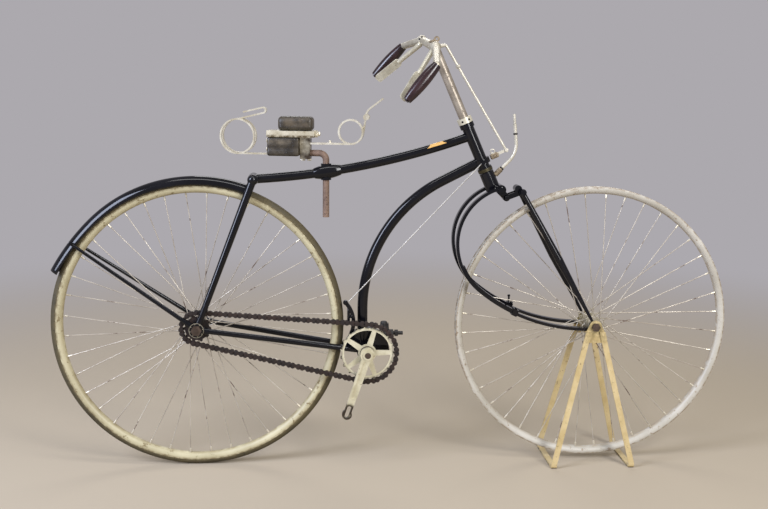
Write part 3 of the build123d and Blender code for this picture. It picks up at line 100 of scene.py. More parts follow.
# Backdrop paper: matt and faintly warm near the wheels, one even pale tone further off.
floor_paper = bpy.data.materials.new("studio_paper")
floor_paper.use_nodes = True
tree = floor_paper.node_tree
tree.nodes.clear()
place = add(tree, "ShaderNodeTexCoord")
reach = add(tree, "ShaderNodeVectorMath", {"operation": "LENGTH"}, {0: place.outputs["Object"]})
fade = add(tree, "ShaderNodeMapRange",
           {"interpolation_type": "SMOOTHSTEP", "From Min": fade_start, "From Max": fade_end},
           {"Value": reach.outputs["Value"]})
matt = add(tree, "ShaderNodeBsdfDiffuse", {"Color": floor_grey})
glow = add(tree, "ShaderNodeEmission", {"Color": paper_grey, "Strength": 1.0})
mixed = add(tree, "ShaderNodeMixShader", None,
            {0: fade.outputs["Result"], 1: matt.outputs[0], 2: glow.outputs[0]})
add(tree, "ShaderNodeOutputMaterial", None, {"Surface": mixed.outputs[0]})
floor_mesh.materials.append(floor_paper)

# Studio light: an even pale room, a tall bluish soft box at the left that draws the cool bands on the tubes,
# a tall white one ahead of the bicycle for the bright line down the head, and two weaker ones above and behind.
world = bpy.data.worlds.new("studio_room")
bpy.context.scene.world = world
world.use_nodes = True
tree = world.node_tree
tree.nodes.clear()
room_white = paint("F2F0F2")
room_strength = 0.36
rays = add(tree, "ShaderNodeLightPath")
room = add(tree, "ShaderNodeBackground", {"Color": room_white, "Strength": room_strength})
paper = add(tree, "ShaderNodeBackground", {"Color": paper_grey, "Strength": 1.0})
mirrored = add(tree, "ShaderNodeMath", {"operation": "MAXIMUM"},
               {0: rays.outputs["Is Glossy Ray"], 1: rays.outputs["Is Transmission Ray"]})
seen = add(tree, "ShaderNodeMath", {"operation": "MAXIMUM"},
           {0: rays.outputs["Is Camera Ray"], 1: mirrored.outputs[0]})
both = add(tree, "ShaderNodeMixShader", None, {0: seen.outputs[0], 1: room.outputs[0], 2: paper.outputs[0]})
add(tree, "ShaderNodeOutputWorld", None, {"Surface": both.outputs[0]})
lamp_target = Vector((0.0, 0.0, 0.5))
# columns: name, colour, place, width, height, watts
soft_boxes = (
    ("soft_box_left", "DCE6FF", (-3.2, -1.9, 2.3), 1.5, 2.6, 215),
    ("soft_box_front", "FFFFFF", (1.7, -3.0, 2.2), 0.9, 2.6, 130),
    ("soft_box_top", "FFFFFF", (-0.2, -0.9, 3.6), 2.6, 0.5, 28),
    ("soft_box_back", "FFFFFF", (0.3, 2.8, 3.0), 2.4, 1.0, 35),
)
for name, colour, spot, width, height, watts in soft_boxes:
    lamp = bpy.data.lights.new(name, "AREA")
    lamp.shape = "RECTANGLE"
    lamp.color = paint(colour)[:3]
    lamp.size = width
    lamp.size_y = height
    lamp.energy = watts
    holder = bpy.data.objects.new(name, lamp)
    aim = lamp_target - Vector(spot)
    holder.matrix_world = Matrix.Translation(spot) @ aim.to_track_quat("-Z", "Y").to_matrix().to_4x4()
    bpy.context.scene.collection.objects.link(holder)


# Stand: two bent straps of flat iron riveted to a plate on each side of the axle. It was brushed with
# cream paint over older coats, which is chipped and thick in the corners, and darker just above the floor.
def finish(name, tones, patch_mm, spots, spot_mm, spot_cut, rough, bump_mm, bump_depth, metal=0.0, coat=0.0):
    """A weathered finish: two tones in soft patches, and spots of a third where a finer noise passes spot_cut."""
    spot_rough, coat_rough, bump_strength = 0.85, 0.08, 0.5
    made = bpy.data.materials.new(name)
    made.use_nodes = True
    tree = made.node_tree
    shader = tree.nodes["Principled BSDF"]
    place = add(tree, "ShaderNodeTexCoord").outputs["Object"]
    patch = add(tree, "ShaderNodeTexNoise", {"Scale": 1000 / patch_mm, "Detail": 5.0, "Roughness": 0.62},
                {"Vector": place})
    patch = add(tree, "ShaderNodeMapRange", {"From Min": 0.34, "From Max": 0.66},
                {"Value": patch.outputs["Fac"]})
    tone = add(tree, "ShaderNodeMix", {"data_type": "RGBA", 6: paint(tones[0]), 7: paint(tones[1])},
               {0: patch.outputs["Result"]})
    fleck = add(tree, "ShaderNodeTexNoise", {"Scale": 1000 / spot_mm, "Detail": 6.0, "Roughness": 0.7},
                {"Vector": place})
    fleck = add(tree, "ShaderNodeMapRange", {"From Min": spot_cut, "From Max": spot_cut + 0.07},
                {"Value": fleck.outputs["Fac"]})
    colour = add(tree, "ShaderNodeMix", {"data_type": "RGBA", 7: paint(spots)},
                 {0: fleck.outputs["Result"], 6: tone.outputs[2]})
    tree.links.new(colour.outputs[2], shader.inputs["Base Color"])
    dull = add(tree, "ShaderNodeMapRange", {"To Min": rough[0], "To Max": rough[1]},
               {"Value": patch.outputs["Result"]})
    dull = add(tree, "ShaderNodeMix", {"data_type": "FLOAT", 3: spot_rough},
               {0: fleck.outputs["Result"], 2: dull.outputs["Result"]})
    tree.links.new(dull.outputs[0], shader.inputs["Roughness"])
    grain = add(tree, "ShaderNodeTexNoise", {"Scale": 1000 / bump_mm, "Detail": 3.0}, {"Vector": place})
    raised = add(tree, "ShaderNodeMath", {"operation": "ADD"},
                 {0: grain.outputs["Fac"], 1: fleck.outputs["Result"]})
    bump = add(tree, "ShaderNodeBump", {"Strength": bump_strength, "Distance": bump_depth / 1000},
               {"Height": raised.outputs[0]})
    tree.links.new(bump.outputs["Normal"], shader.inputs["Normal"])
    shader.inputs["Coat Weight"].default_value = coat
    shader.inputs["Coat Roughness"].default_value = coat_rough
    if metal:
        bare = add(tree, "ShaderNodeMapRange", {"To Min": metal, "To Max": 0.0},
                   {"Value": fleck.outputs["Result"]})
        tree.links.new(bare.outputs["Result"], shader.inputs["Metallic"])
    return made


def stain_and_shade(material, colour, centre, full_mm, none_mm, flat=(1, 1, 1), ragged_mm=9):
    """Lays a ragged stain or a band of painted shade over a finish, whole at full_mm from a centre, gone at none_mm;
    flat drops an axis.
    """
    tree = material.node_tree
    socket = tree.nodes["Principled BSDF"].inputs["Base Color"]
    under = socket.links[0].from_socket
    place = add(tree, "ShaderNodeTexCoord").outputs["Object"]
    offset = add(tree, "ShaderNodeVectorMath", {"operation": "SUBTRACT", 1: centre}, {0: place})
    offset = add(tree, "ShaderNodeVectorMath", {"operation": "MULTIPLY", 1: flat}, {0: offset.outputs["Vector"]})
    reach = add(tree, "ShaderNodeVectorMath", {"operation": "LENGTH"}, {0: offset.outputs["Vector"]})
    near = add(tree, "ShaderNodeMapRange",
               {"From Min": full_mm / 1000, "From Max": none_mm / 1000, "To Min": 1.0, "To Max": 0.0},
               {"Value": reach.outputs["Value"]})
    ragged = add(tree, "ShaderNodeTexNoise", {"Scale": 1000 / ragged_mm, "Detail": 5.0}, {"Vector": place})
    ragged = add(tree, "ShaderNodeMapRange", {"From Min": 0.36, "From Max": 0.56},
                 {"Value": ragged.outputs["Fac"]})
    mask = add(tree, "ShaderNodeMath", {"operation": "MULTIPLY"},
               {0: near.outputs["Result"], 1: ragged.outputs["Result"]})
    over = add(tree, "ShaderNodeMix", {"data_type": "RGBA", 7: paint(colour)}, {0: mask.outputs[0], 6: under})
    tree.links.new(over.outputs[2], socket)


def dress(material, *names):
    """Gives CAD nodes their finish."""
    for name in names:
        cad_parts[name].data.materials.clear()
        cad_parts[name].data.materials.append(material)


def at(x, y, z):
    """A point in millimetres ahead of the rear hub, to the left and above the floor, in the model's metres."""
    return Vector((rear_hub_x + x / 1000, y / 1000, z / 1000))


def edges_of(made):
    """The edges of a shape just made, each once and in the same order every run."""
    return list(dict.fromkeys(e for v in made["verts"] for e in v.link_edges))


def bolt_head(mesh, spot, heading, radius, height, sides):
    """Adds a head with a rounded rim that stands on spot: six sides for a nut, more for a rivet or stud."""
    rounded_share = 0.35
    heading = Vector(heading).normalized()
    turn = heading.to_track_quat("Z", "Y").to_matrix().to_4x4()
    middle = Matrix.Translation(spot + heading * height / 2000)
    made = bmesh.ops.create_cone(mesh, cap_ends=True, segments=sides, radius1=radius / 1000,
                                 radius2=radius / 1000, depth=height / 1000, matrix=middle @ turn)
    top = {v for v in made["verts"] if (v.co - spot).dot(heading) > height / 2000}
    rim = [e for e in edges_of(made) if e.verts[0] in top and e.verts[1] in top]
    bmesh.ops.bevel(mesh, geom=rim, offset=min(radius, height) * rounded_share / 1000, segments=2, profile=0.5,
                    affect="EDGES", material=-1)


def fit(name, mesh, material, body):
    """Makes a finished mesh an object with its finish, riding on a body."""
    data = bpy.data.meshes.new(name)
    mesh.to_mesh(data)
    mesh.free()
    data.materials.append(material)
    piece = bpy.data.objects.new(name, data)
    bpy.context.scene.collection.objects.link(piece)
    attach(piece, body)
    return piece


tyre_low, tyre_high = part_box("rear_tyre")
rear_hub_x = (tyre_low[0] + tyre_high[0]) / 2
wheelbase, hub_height = 1047, 381
# Brush paint: a warm half-matt cream with dark chips, a dark band at the floor and yellow round the axle.
stand_paint = finish("cream_brush_paint", tones=("AE9868", "C4B084"), patch_mm=50, spots="6A5B3C", spot_mm=10,
                     spot_cut=0.60, rough=(0.45, 0.6), bump_mm=2.5, bump_depth=0.2)
# A dark band on the feet, whole within 1 mm of the floor and gone at 5 mm.
stain_and_shade(stand_paint, "2E271D", (0, 0, 0), full_mm=1, none_mm=5, flat=(0, 0, 1))
stain_and_shade(stand_paint, "8A7A50", at(wheelbase, 0, hub_height), full_mm=8, none_mm=60, flat=(1, 0, 1))
dress(stand_paint, "stand_strap_front", "stand_strap_rear", "stand_plates")
strap_face = 64.5
# columns: distance ahead of the axle, distance below it
rivet_places = ((20.3, 22), (24.0, 36), (-20.3, 22), (-24.0, 36))
mesh = bmesh.new()
for side in (-1, 1):
    for reach, drop in rivet_places:
        spot = at(wheelbase + reach, side * strap_face, hub_height - drop)
        bolt_head(mesh, spot, (0, side, 0), radius=3.4, height=1.8, sides=12)
fit("stand_rivets", mesh, stand_paint, "fork")

# Axles and their nuts: turned steel, threaded at the ends and dark with old oil and rust. The front one
# also goes through the stand's plates.
# Oiled steel: a dark brown that hardly shines.
axle_steel = finish("oiled_axle_steel", tones=("3A2F27", "54453A"), patch_mm=14, spots="241B16", spot_mm=4,
                    spot_cut=0.58, rough=(0.45, 0.65), bump_mm=1.2, bump_depth=0.1, metal=0.5)
dress(axle_steel, "front_axle", "rear_axle")

# Spring fork: two J-shaped steel blades with a helper leaf clipped inside each, straight legs and a forged
# crown with a shackle. It is japanned black and baked, and bolts hold the clips, crown and shackle.
# Stove enamel: glossy black that mirrors the lights as thin bluish bands, dulled and pitted in places.
black_enamel = finish("black_stove_enamel", tones=("07070A", "0E0E13"), patch_mm=90, spots="2E2722", spot_mm=9,
                      spot_cut=0.71, rough=(0.07, 0.16), bump_mm=3.0, bump_depth=0.01)
enamel_ior = 1.37
black_enamel.node_tree.nodes["Principled BSDF"].inputs["IOR"].default_value = enamel_ior
dress(black_enamel, "fork_crown", "fork_link", "spring_blade_right", "spring_blade_left", "spring_leaves",
      "front_legs")
leaf_end_x, leaf_end_z = 838.8, 418.3
leaf_run = Vector((0.9097, 0, -0.4152))
leaf_up = Vector((0.4152, 0, 0.9097))
clip_back, clip_rise = 0.0075, 0.007
clip_top = at(leaf_end_x, 0, leaf_end_z) - leaf_run * clip_back + leaf_up * clip_rise
blade_middle = Vector((0, 0.042, 0))
stud_apart = leaf_run * 0.004
stud_foot = clip_top + blade_middle - stud_apart
stud_rise = Vector((0, 0, 0.015))
# columns: distance ahead, to the side, up, radius, height, sides
crown_bolts = ((785, 50, 744, 8.5, 4.5, 16), (807, 15, 720, 7.0, 4.5, 6), (847, 30, 735, 8.5, 5.0, 6))
mesh = bmesh.new()
bolt_head(mesh, clip_top - blade_middle, leaf_up, radius=4.5, height=4, sides=6)
bolt_head(mesh, clip_top + blade_middle + stud_apart, leaf_up, radius=4.5, height=4, sides=6)
bolt_head(mesh, stud_foot, (0, 0, 1), radius=2.6, height=16, sides=10)
bolt_head(mesh, stud_foot + stud_rise, (0, 0, 1), radius=3.8, height=5, sides=12)
for side in (-1, 1):
    for x, y, z, radius, height, sides in crown_bolts:
        bolt_head(mesh, at(x, side * y, z), (0, side, 0), radius, height, sides)
fit("fork_bolts", mesh, black_enamel, "fork")

# Front rim: a rolled steel crescent without its tyre. The old cream paint is whiter here than at the back,
# with brown rust through it; both lips are darkened with painted shade of the rounded section.
# Rim paint: a chalky off-white, half matt and freckled with brown, with painted shade along both lips.
front_rim_paint = finish("white_rim_paint", tones=("A29C8F", "B8B3A8"), patch_mm=110, spots="7E6A54", spot_mm=11,
                         spot_cut=0.59, rough=(0.36, 0.52), bump_mm=1.8, bump_depth=0.15)
front_hub_place = at(wheelbase, 0, hub_height)
# Painted shade: brown bands darken the outer and the inner lip, where the rounded section turns from the light.
stain_and_shade(front_rim_paint, "7A6850", front_hub_place, full_mm=366.5, none_mm=362.5, flat=(1, 0, 1), ragged_mm=14)
stain_and_shade(front_rim_paint, "9A8B75", front_hub_place, full_mm=348.5, none_mm=352, flat=(1, 0, 1), ragged_mm=20)
dress(front_rim_paint, "front_rim")


# Front hub and spokes: forty tangent wires, twenty to each flange and crossed in pairs, each screwed into
# a turned nipple at the rim.
def nipples(name, wheel_x, material, body):
    """Small turned nipples where the spokes meet the rim, in the lanes that the spokes take."""
    spokes_per_side, hole_radius, rim_radius, flange_y, lane = 20, 19, 348.8, 25, 1.6
    swing = atan2(sqrt(rim_radius**2 - hole_radius**2), hole_radius)
    mesh = bmesh.new()
    for side in (-1, 1):
        for k in range(spokes_per_side):
            lead = 1 if k % 2 else -1
            rim_angle = radians(360 / spokes_per_side * k + side * 90 / spokes_per_side)
            hub_angle = rim_angle - lead * swing
            rim_end = at(wheel_x + rim_radius * cos(rim_angle), side * (lane + 1 + lead * lane),
                         hub_height + rim_radius * sin(rim_angle))
            hub_end = at(wheel_x + hole_radius * cos(hub_angle), side * (flange_y + lead * lane),
                         hub_height + hole_radius * sin(hub_angle))
            bolt_head(mesh, rim_end, hub_end - rim_end, radius=2.4, height=11, sides=8)
    fit(name, mesh, material, body)


# Drawn wire: its worn plate is pale in some lengths and brown in others.
spoke_wire = finish("rusted_nickel_wire", tones=("C4BCAE", "958B7D"), patch_mm=70, spots="5A483C", spot_mm=55,
                    spot_cut=0.57, rough=(0.3, 0.46), bump_mm=2.0, bump_depth=0.03, metal=0.4)
stain_and_shade(spoke_wire, "8C8468", front_hub_place, full_mm=20, none_mm=60)
dress(spoke_wire, "front_hub", "rear_hub")
# Plated brass: a small bright dash at each spoke's end.
nipple_brass = finish("grey_brass_nipple", tones=("C2B9A4", "D6CFBE"), patch_mm=6, spots="6E5C48", spot_mm=3,
                      spot_cut=0.62, rough=(0.35, 0.5), bump_mm=1.0, bump_depth=0.05, metal=0.6)
nipples("front_nipples", wheelbase, nipple_brass, "front_wheel")

# Frame: drawn tubes brazed into a head, a spindle-shaped seat lug, a cast bracket and round fork ends, all
# under the same black enamel as the fork. A flat round bolt holds each mudguard stay.
dress(black_enamel, "head_tube", "backbone_tube", "seat_lug", "down_tube", "bottom_bracket", "chain_stays",
      "seat_stays", "rear_fork_ends", "mudguard_stays", "brake_collar")
stay_end_x, stay_end_z, stay_face = -319, 601, 24.3
mesh = bmesh.new()
for side in (-1, 1):
    spot = at(stay_end_x, side * stay_face, stay_end_z)
    bolt_head(mesh, spot, (0, side, 0), radius=4.6, height=2.6, sides=12)
fit("mudguard_stay_bolts", mesh, black_enamel, "frame")


# Mudguard: a strip of sheet rolled to a deep crescent that comes down beside the tyre, follows it from the
# seat stays back and then flares away to its tip. A stud holds its front end to the rear crown.
def tube(mesh, start, end, start_radius, end_radius):
    """Adds a tapered tube between two points, with both rims rounded."""
    rounded_share = 0.5
    run = end - start
    turn = run.to_track_quat("Z", "Y").to_matrix().to_4x4()
    made = bmesh.ops.create_cone(mesh, cap_ends=True, segments=24, radius1=start_radius / 1000,
                                 radius2=end_radius / 1000, depth=run.length,
                                 matrix=Matrix.Translation((start + end) / 2) @ turn)
    rims = [e for e in edges_of(made) if abs((e.verts[0].co - e.verts[1].co).dot(run)) < 1e-7]
    bmesh.ops.bevel(mesh, geom=rims, offset=min(start_radius, end_radius) * rounded_share / 1000, segments=3,
                    profile=0.5, affect="EDGES", material=-1)


guard_radius, guard_half, guard_depth, guard_wall = 392.4, 20.5, 21, 1.4
guard_front, guard_turn, guard_tip, tip_flare = radians(68), radians(135), radians(158.4), 11.2
guard_lean, lean_steps = radians(80), 6
stud_start, stud_radius = 0.3915, 5
hub = at(0, 0, hub_height)
mesh = bmesh.new()
edge = []
for k in range(-lean_steps, lean_steps + 1):
    swing = guard_lean * k / lean_steps
    radius = guard_radius - guard_depth * (1 - cos(swing)) / (1 - cos(guard_lean))
    sideways = guard_half * sin(swing) / sin(guard_lean)
    edge.append(mesh.verts.new(hub + Vector((radius * cos(guard_front), sideways, radius * sin(guard_front))) / 1000))
edges = [mesh.edges.new(pair) for pair in zip(edge, edge[1:])]
rolled = bmesh.ops.spin(mesh, geom=edge + edges, cent=hub, axis=(0, 1, 0), angle=guard_front - guard_turn, steps=48)
outward = Vector((cos(guard_turn), 0, sin(guard_turn)))
turn_place = hub + outward * guard_radius / 1000
tip_place = hub + Vector((cos(guard_tip), 0, sin(guard_tip))) * (guard_radius + tip_flare) / 1000
chord = tip_place - turn_place
tail_radius = -chord.length_squared / (2 * outward.dot(chord))
tail_angle = 2 * asin(chord.length / (2 * tail_radius))
bmesh.ops.spin(mesh, geom=rolled["geom_last"], cent=turn_place - outward * tail_radius, axis=(0, 1, 0),
               angle=-tail_angle, steps=20)
bmesh.ops.recalc_face_normals(mesh, faces=mesh.faces)
bmesh.ops.solidify(mesh, geom=mesh.faces, thickness=guard_wall / 1000)
for face in mesh.faces:
    face.smooth = True
crown = at(146.2, 0, 765.8)
tube(mesh, hub + (crown - hub).normalized() * stud_start, crown, stud_radius, stud_radius)
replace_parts(fit("mudguard_sheet", mesh, black_enamel, "frame"), "mudguard")

# Rear brake lever: a bowed flat bar that turns on the bracket casting, enamelled black, with a knob where
# the wire is tied and a shoe that reaches across in front of the tyre.
lever_centre, lever_radius = at(330.5, 0, 390.4), 75.9
lever_top, lever_foot = radians(44), radians(-24)
lever_half, lever_wall, lever_y = 4, 10, -21
knob_inner, knob_outer, nut_drop = Vector((0, -0.014, 0)), Vector((0, -0.027, 0)), Vector((0, 0, -0.001))
pivot_near, pivot_far = at(409, -26, 357), at(409, -12, 357)
shoe_middle, shoe_size, shoe_rounding = at(393.5, -7, 406), (0.007, 0.034, 0.032), 0.0015
peg_start, peg_end = at(394, lever_y, 406), at(403, lever_y, 406)
mesh = bmesh.new()
corners = ((-lever_wall / 2, -lever_half), (lever_wall / 2, -lever_half),
           (lever_wall / 2, lever_half), (-lever_wall / 2, lever_half))
edge = [mesh.verts.new(lever_centre + Vector(((lever_radius + r) * cos(lever_top), lever_y + y,
                                              (lever_radius + r) * sin(lever_top))) / 1000) for r, y in corners]
section = mesh.faces.new(edge)
bmesh.ops.spin(mesh, geom=[section], cent=lever_centre, axis=(0, 1, 0), angle=lever_top - lever_foot, steps=24)
bmesh.ops.recalc_face_normals(mesh, faces=mesh.faces)
lever_tip = lever_centre + Vector((cos(lever_top), 0, sin(lever_top))) * lever_radius / 1000
bolt_head(mesh, lever_tip + knob_inner + nut_drop, (0, -1, 0), radius=5.5, height=4, sides=6)
tube(mesh, lever_tip + knob_outer, lever_tip + knob_inner, start_radius=6.5, end_radius=6.5)
tube(mesh, pivot_near, pivot_far, start_radius=6, end_radius=6)
shoe = Matrix.Translation(shoe_middle) @ Matrix.Diagonal((*shoe_size, 1))
made = bmesh.ops.create_cube(mesh, size=1.0, matrix=shoe)
bmesh.ops.bevel(mesh, geom=edges_of(made), offset=shoe_rounding, segments=2, profile=0.5, affect="EDGES",
                material=-1)
tube(mesh, peg_start, peg_end, start_radius=5, end_radius=5)
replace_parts(fit("rear_brake_bar", mesh, black_enamel, "frame"), "rear_brake_lever")

# Chain adjuster: a cast housing with a domed cap, bolted on the front of the bracket round the draw bolt
# that moves the casting.
# Cast iron: dull black with a brown bloom.
adjuster_black = finish("dull_black_iron", tones=("141316", "24221F"), patch_mm=20, spots="3B2E26", spot_mm=6,
                        spot_cut=0.6, rough=(0.4, 0.6), bump_mm=1.5, bump_depth=0.1, metal=0.3)
dress(adjuster_black, "chain_adjuster")
housing_back, housing_front, housing_z = 478, 508, 353
cap_x, cap_foot, cap_top = 488, 355, 388
nut_z = 354
mesh = bmesh.new()
tube(mesh, at(housing_back, 0, housing_z), at(housing_front, 0, housing_z), start_radius=14, end_radius=12.5)
tube(mesh, at(cap_x, 0, cap_foot), at(cap_x, 0, cap_top), start_radius=11.5, end_radius=9)
bolt_head(mesh, at(housing_front, 0, nut_z), (1, 0, 0), radius=10.5, height=6, sides=6)
fit("adjuster_housing", mesh, adjuster_black, "frame")

# Transfer on the top tube: a bare strip of old varnish, laid on the near upper side of the tube and thin
# as paper.
# Varnish: a smooth amber film with a few darker flecks.
amber = finish("amber_varnish", tones=("B0863F", "C89C57"), patch_mm=12, spots="6A4A24", spot_mm=4,
               spot_cut=0.62, rough=(0.25, 0.4), bump_mm=1.5, bump_depth=0.03, coat=0.3)
strip_half, strip_radius, strip_wall = 26, 12.1, 0.15
strip_start, strip_sweep = radians(20), radians(-55)
strip_axis = Vector((0.9562, 0, 0.2926))
strip_middle = at(622, 0, 850.5)
near_side = Vector((0, -1, 0))
edge_out = near_side * cos(strip_start) + near_side.cross(strip_axis) * sin(strip_start)
edge_out = edge_out * strip_radius / 1000
mesh = bmesh.new()
first = mesh.verts.new(strip_middle + edge_out - strip_axis * strip_half / 1000)
last = mesh.verts.new(strip_middle + edge_out + strip_axis * strip_half / 1000)
bmesh.ops.spin(mesh, geom=[first, last, mesh.edges.new((first, last))], cent=strip_middle, axis=strip_axis,
               angle=strip_sweep, steps=12, use_duplicate=False)
bmesh.ops.recalc_face_normals(mesh, faces=mesh.faces)
bmesh.ops.solidify(mesh, geom=mesh.faces, thickness=strip_wall / 1000)
fit("top_tube_transfer", mesh, amber, "frame")


# Lower head race: a turned brass ring pressed on the lower cup of the head, where it closes the bearing
# against dust.
def ring(mesh, spot, heading, inner, outer, height):
    """Adds a flat ring that stands on spot, by spinning its section round the heading."""
    heading = Vector(heading).normalized()
    across = heading.orthogonal().normalized()
    corners = ((inner, 0), (outer, 0), (outer, height), (inner, height))
    verts = [mesh.verts.new(spot + across * r / 1000 + heading * h / 1000) for r, h in corners]
    edges = [mesh.edges.new((verts[i], verts[(i + 1) % 4])) for i in range(4)]
    before = set(mesh.faces)
    bmesh.ops.spin(mesh, geom=verts + edges, cent=spot, axis=heading, angle=2 * pi, steps=40, use_merge=True)
    bmesh.ops.recalc_face_normals(mesh, faces=[face for face in mesh.faces if face not in before])


head_axis = Vector((-0.40674, 0, 0.91355))
head_ahead = Vector((0.91355, 0, 0.40674))
head_middle = at(727, 0, 843.5)
race_drop = 0.060
# Oiled brass: a dark olive with a soft shine.
olive_brass = finish("olive_brass", tones=("332E1E", "4B442C"), patch_mm=12, spots="1E1B12", spot_mm=5,
                     spot_cut=0.6, rough=(0.35, 0.5), bump_mm=1.5, bump_depth=0.05, metal=0.7)
mesh = bmesh.new()
ring(mesh, head_middle - head_axis * race_drop, head_axis, inner=18.9, outer=19.8, height=8)
fit("lower_head_race", mesh, olive_brass, "frame")

# Rear rim: the same rolled crescent as in front, laced in the same way, with its paint gone yellow. Both lips
# are darkened, partly by dirt under the tyre and partly as painted shade of the rounded section.
# Yellowed rim paint: cream with an olive cast; the brown at both lips is dirt mixed with painted shade.
rear_rim_paint = finish("yellowed_rim_paint", tones=("A09676", "BAB190"), patch_mm=120, spots="72623F", spot_mm=16,
                        spot_cut=0.58, rough=(0.38, 0.55), bump_mm=1.8, bump_depth=0.15)
rear_hub_place = at(0, 0, hub_height)
# Dirt and painted shade: brown bands darken the outer and the inner lip of the rounded section.
stain_and_shade(rear_rim_paint, "6E6044", rear_hub_place, full_mm=366.5, none_mm=361, flat=(1, 0, 1), ragged_mm=14)
stain_and_shade(rear_rim_paint, "8C7E5E", rear_hub_place, full_mm=348.5, none_mm=353, flat=(1, 0, 1), ragged_mm=20)
dress(rear_rim_paint, "rear_rim")
nipples("rear_nipples", 0, nipple_brass, "rear_wheel")

# Rear tyre: one ring of solid rubber, cemented into the rim. It has hardened, browned and cracked across
# with age, and rim dirt covers its lower edge.
# Hardened rubber: matt olive brown with short dark cracks, drawn coarser than life so that they show.
tyre_rubber = finish("hardened_rubber", tones=("352E1A", "4C4228"), patch_mm=60, spots="2A2315", spot_mm=9,
                     spot_cut=0.60, rough=(0.6, 0.8), bump_mm=1.5, bump_depth=0.25)
stain_and_shade(tyre_rubber, "6A5E40", rear_hub_place, full_mm=366, none_mm=372, flat=(1, 0, 1), ragged_mm=16)
crack_mm, wander_mm = 6, 8
crack_start, crack_full = 0.64, 0.70
tree = tyre_rubber.node_tree
place = add(tree, "ShaderNodeTexCoord").outputs["Object"]
centred = add(tree, "ShaderNodeVectorMath", {"operation": "SUBTRACT", 1: rear_hub_place}, {0: place})
parts = add(tree, "ShaderNodeSeparateXYZ", None, {0: centred.outputs["Vector"]})
bearing = add(tree, "ShaderNodeMath", {"operation": "ARCTAN2"}, {0: parts.outputs["Z"], 1: parts.outputs["X"]})
around = add(tree, "ShaderNodeMath", {"operation": "MULTIPLY", 1: hub_height / crack_mm}, {0: bearing.outputs[0]})
wander = add(tree, "ShaderNodeTexNoise", {"Scale": 1000 / wander_mm, "Detail": 3.0}, {"Vector": place})
around = add(tree, "ShaderNodeMath", {"operation": "ADD"}, {0: around.outputs[0], 1: wander.outputs["Fac"]})
crack = add(tree, "ShaderNodeTexNoise", {"noise_dimensions": "1D", "Scale": 1.0, "Detail": 2.0},
            {"W": around.outputs[0]})
crack = add(tree, "ShaderNodeMapRange", {"From Min": crack_start, "From Max": crack_full},
            {"Value": crack.outputs["Fac"]})
shader = tree.nodes["Principled BSDF"]
under = shader.inputs["Base Color"].links[0].from_socket
cracked = add(tree, "ShaderNodeMix", {"data_type": "RGBA", 7: paint("40371F")},
              {0: crack.outputs["Result"], 6: under})
tree.links.new(cracked.outputs[2], shader.inputs["Base Color"])
dress(tyre_rubber, "rear_tyre")

# Rear fork ends: a bright worn ring is let into the face of each forged end, with eight small pins round
# the axle nut.
# Worn nickel plate: grey with a soft shine.
dull_nickel = finish("dull_nickel_plate", tones=("86806F", "A19A88"), patch_mm=30, spots="7A6A52", spot_mm=7,
                     spot_cut=0.62, rough=(0.3, 0.46), bump_mm=1.5, bump_depth=0.08, metal=0.5)
fork_end_face, pin_count, pin_turn, pin_circle = 66, 8, 0.2, 0.0163
mesh = bmesh.new()
for side in (-1, 1):
    face_middle = at(0, side * fork_end_face, hub_height)
    ring(mesh, face_middle, (0, side, 0), inner=18.1, outer=19.4, height=1.2)
    for k in range(pin_count):
        angle = 2 * pi * k / pin_count + pin_turn
        spot = face_middle + Vector((cos(angle), 0, sin(angle))) * pin_circle
        bolt_head(mesh, spot, (0, side, 0), radius=1.5, height=1.2, sides=8)
fit("fork_end_rings", mesh, dull_nickel, "frame")


# Chain and sprocket: blocks and side plates on riveted pins, dry and rusted all over. The blocks swell round
# the pins, which gives the chain its beaded edge, and the rivet heads show on both sides.
def chain_place(distance):
    """A point on the chain's loop, from the back of its top run and going forward, from the rear hub."""
    run = centres * cos(lean)
    wraps = ((pi + 2 * lean) * big_radius, (pi - 2 * lean) * small_radius)
    distance = distance % (2 * run + sum(wraps))
    top, bottom = slope + pi / 2 + lean, slope - pi / 2 - lean
    bracket = Vector((centres * cos(slope), centres * sin(slope)))
    if distance < run:
        return small_radius * Vector((cos(top), sin(top))) + distance * Vector((sin(top), -cos(top)))
    distance -= run
    if distance < wraps[0]:
        angle = top - distance / big_radius
        return bracket + big_radius * Vector((cos(angle), sin(angle)))
    distance -= wraps[0]
    if distance < run:
        lowest = bracket + big_radius * Vector((cos(bottom), sin(bottom)))
        return lowest + distance * Vector((sin(bottom), -cos(bottom)))
    angle = bottom - (distance - run) / small_radius
    return small_radius * Vector((cos(angle), sin(angle)))


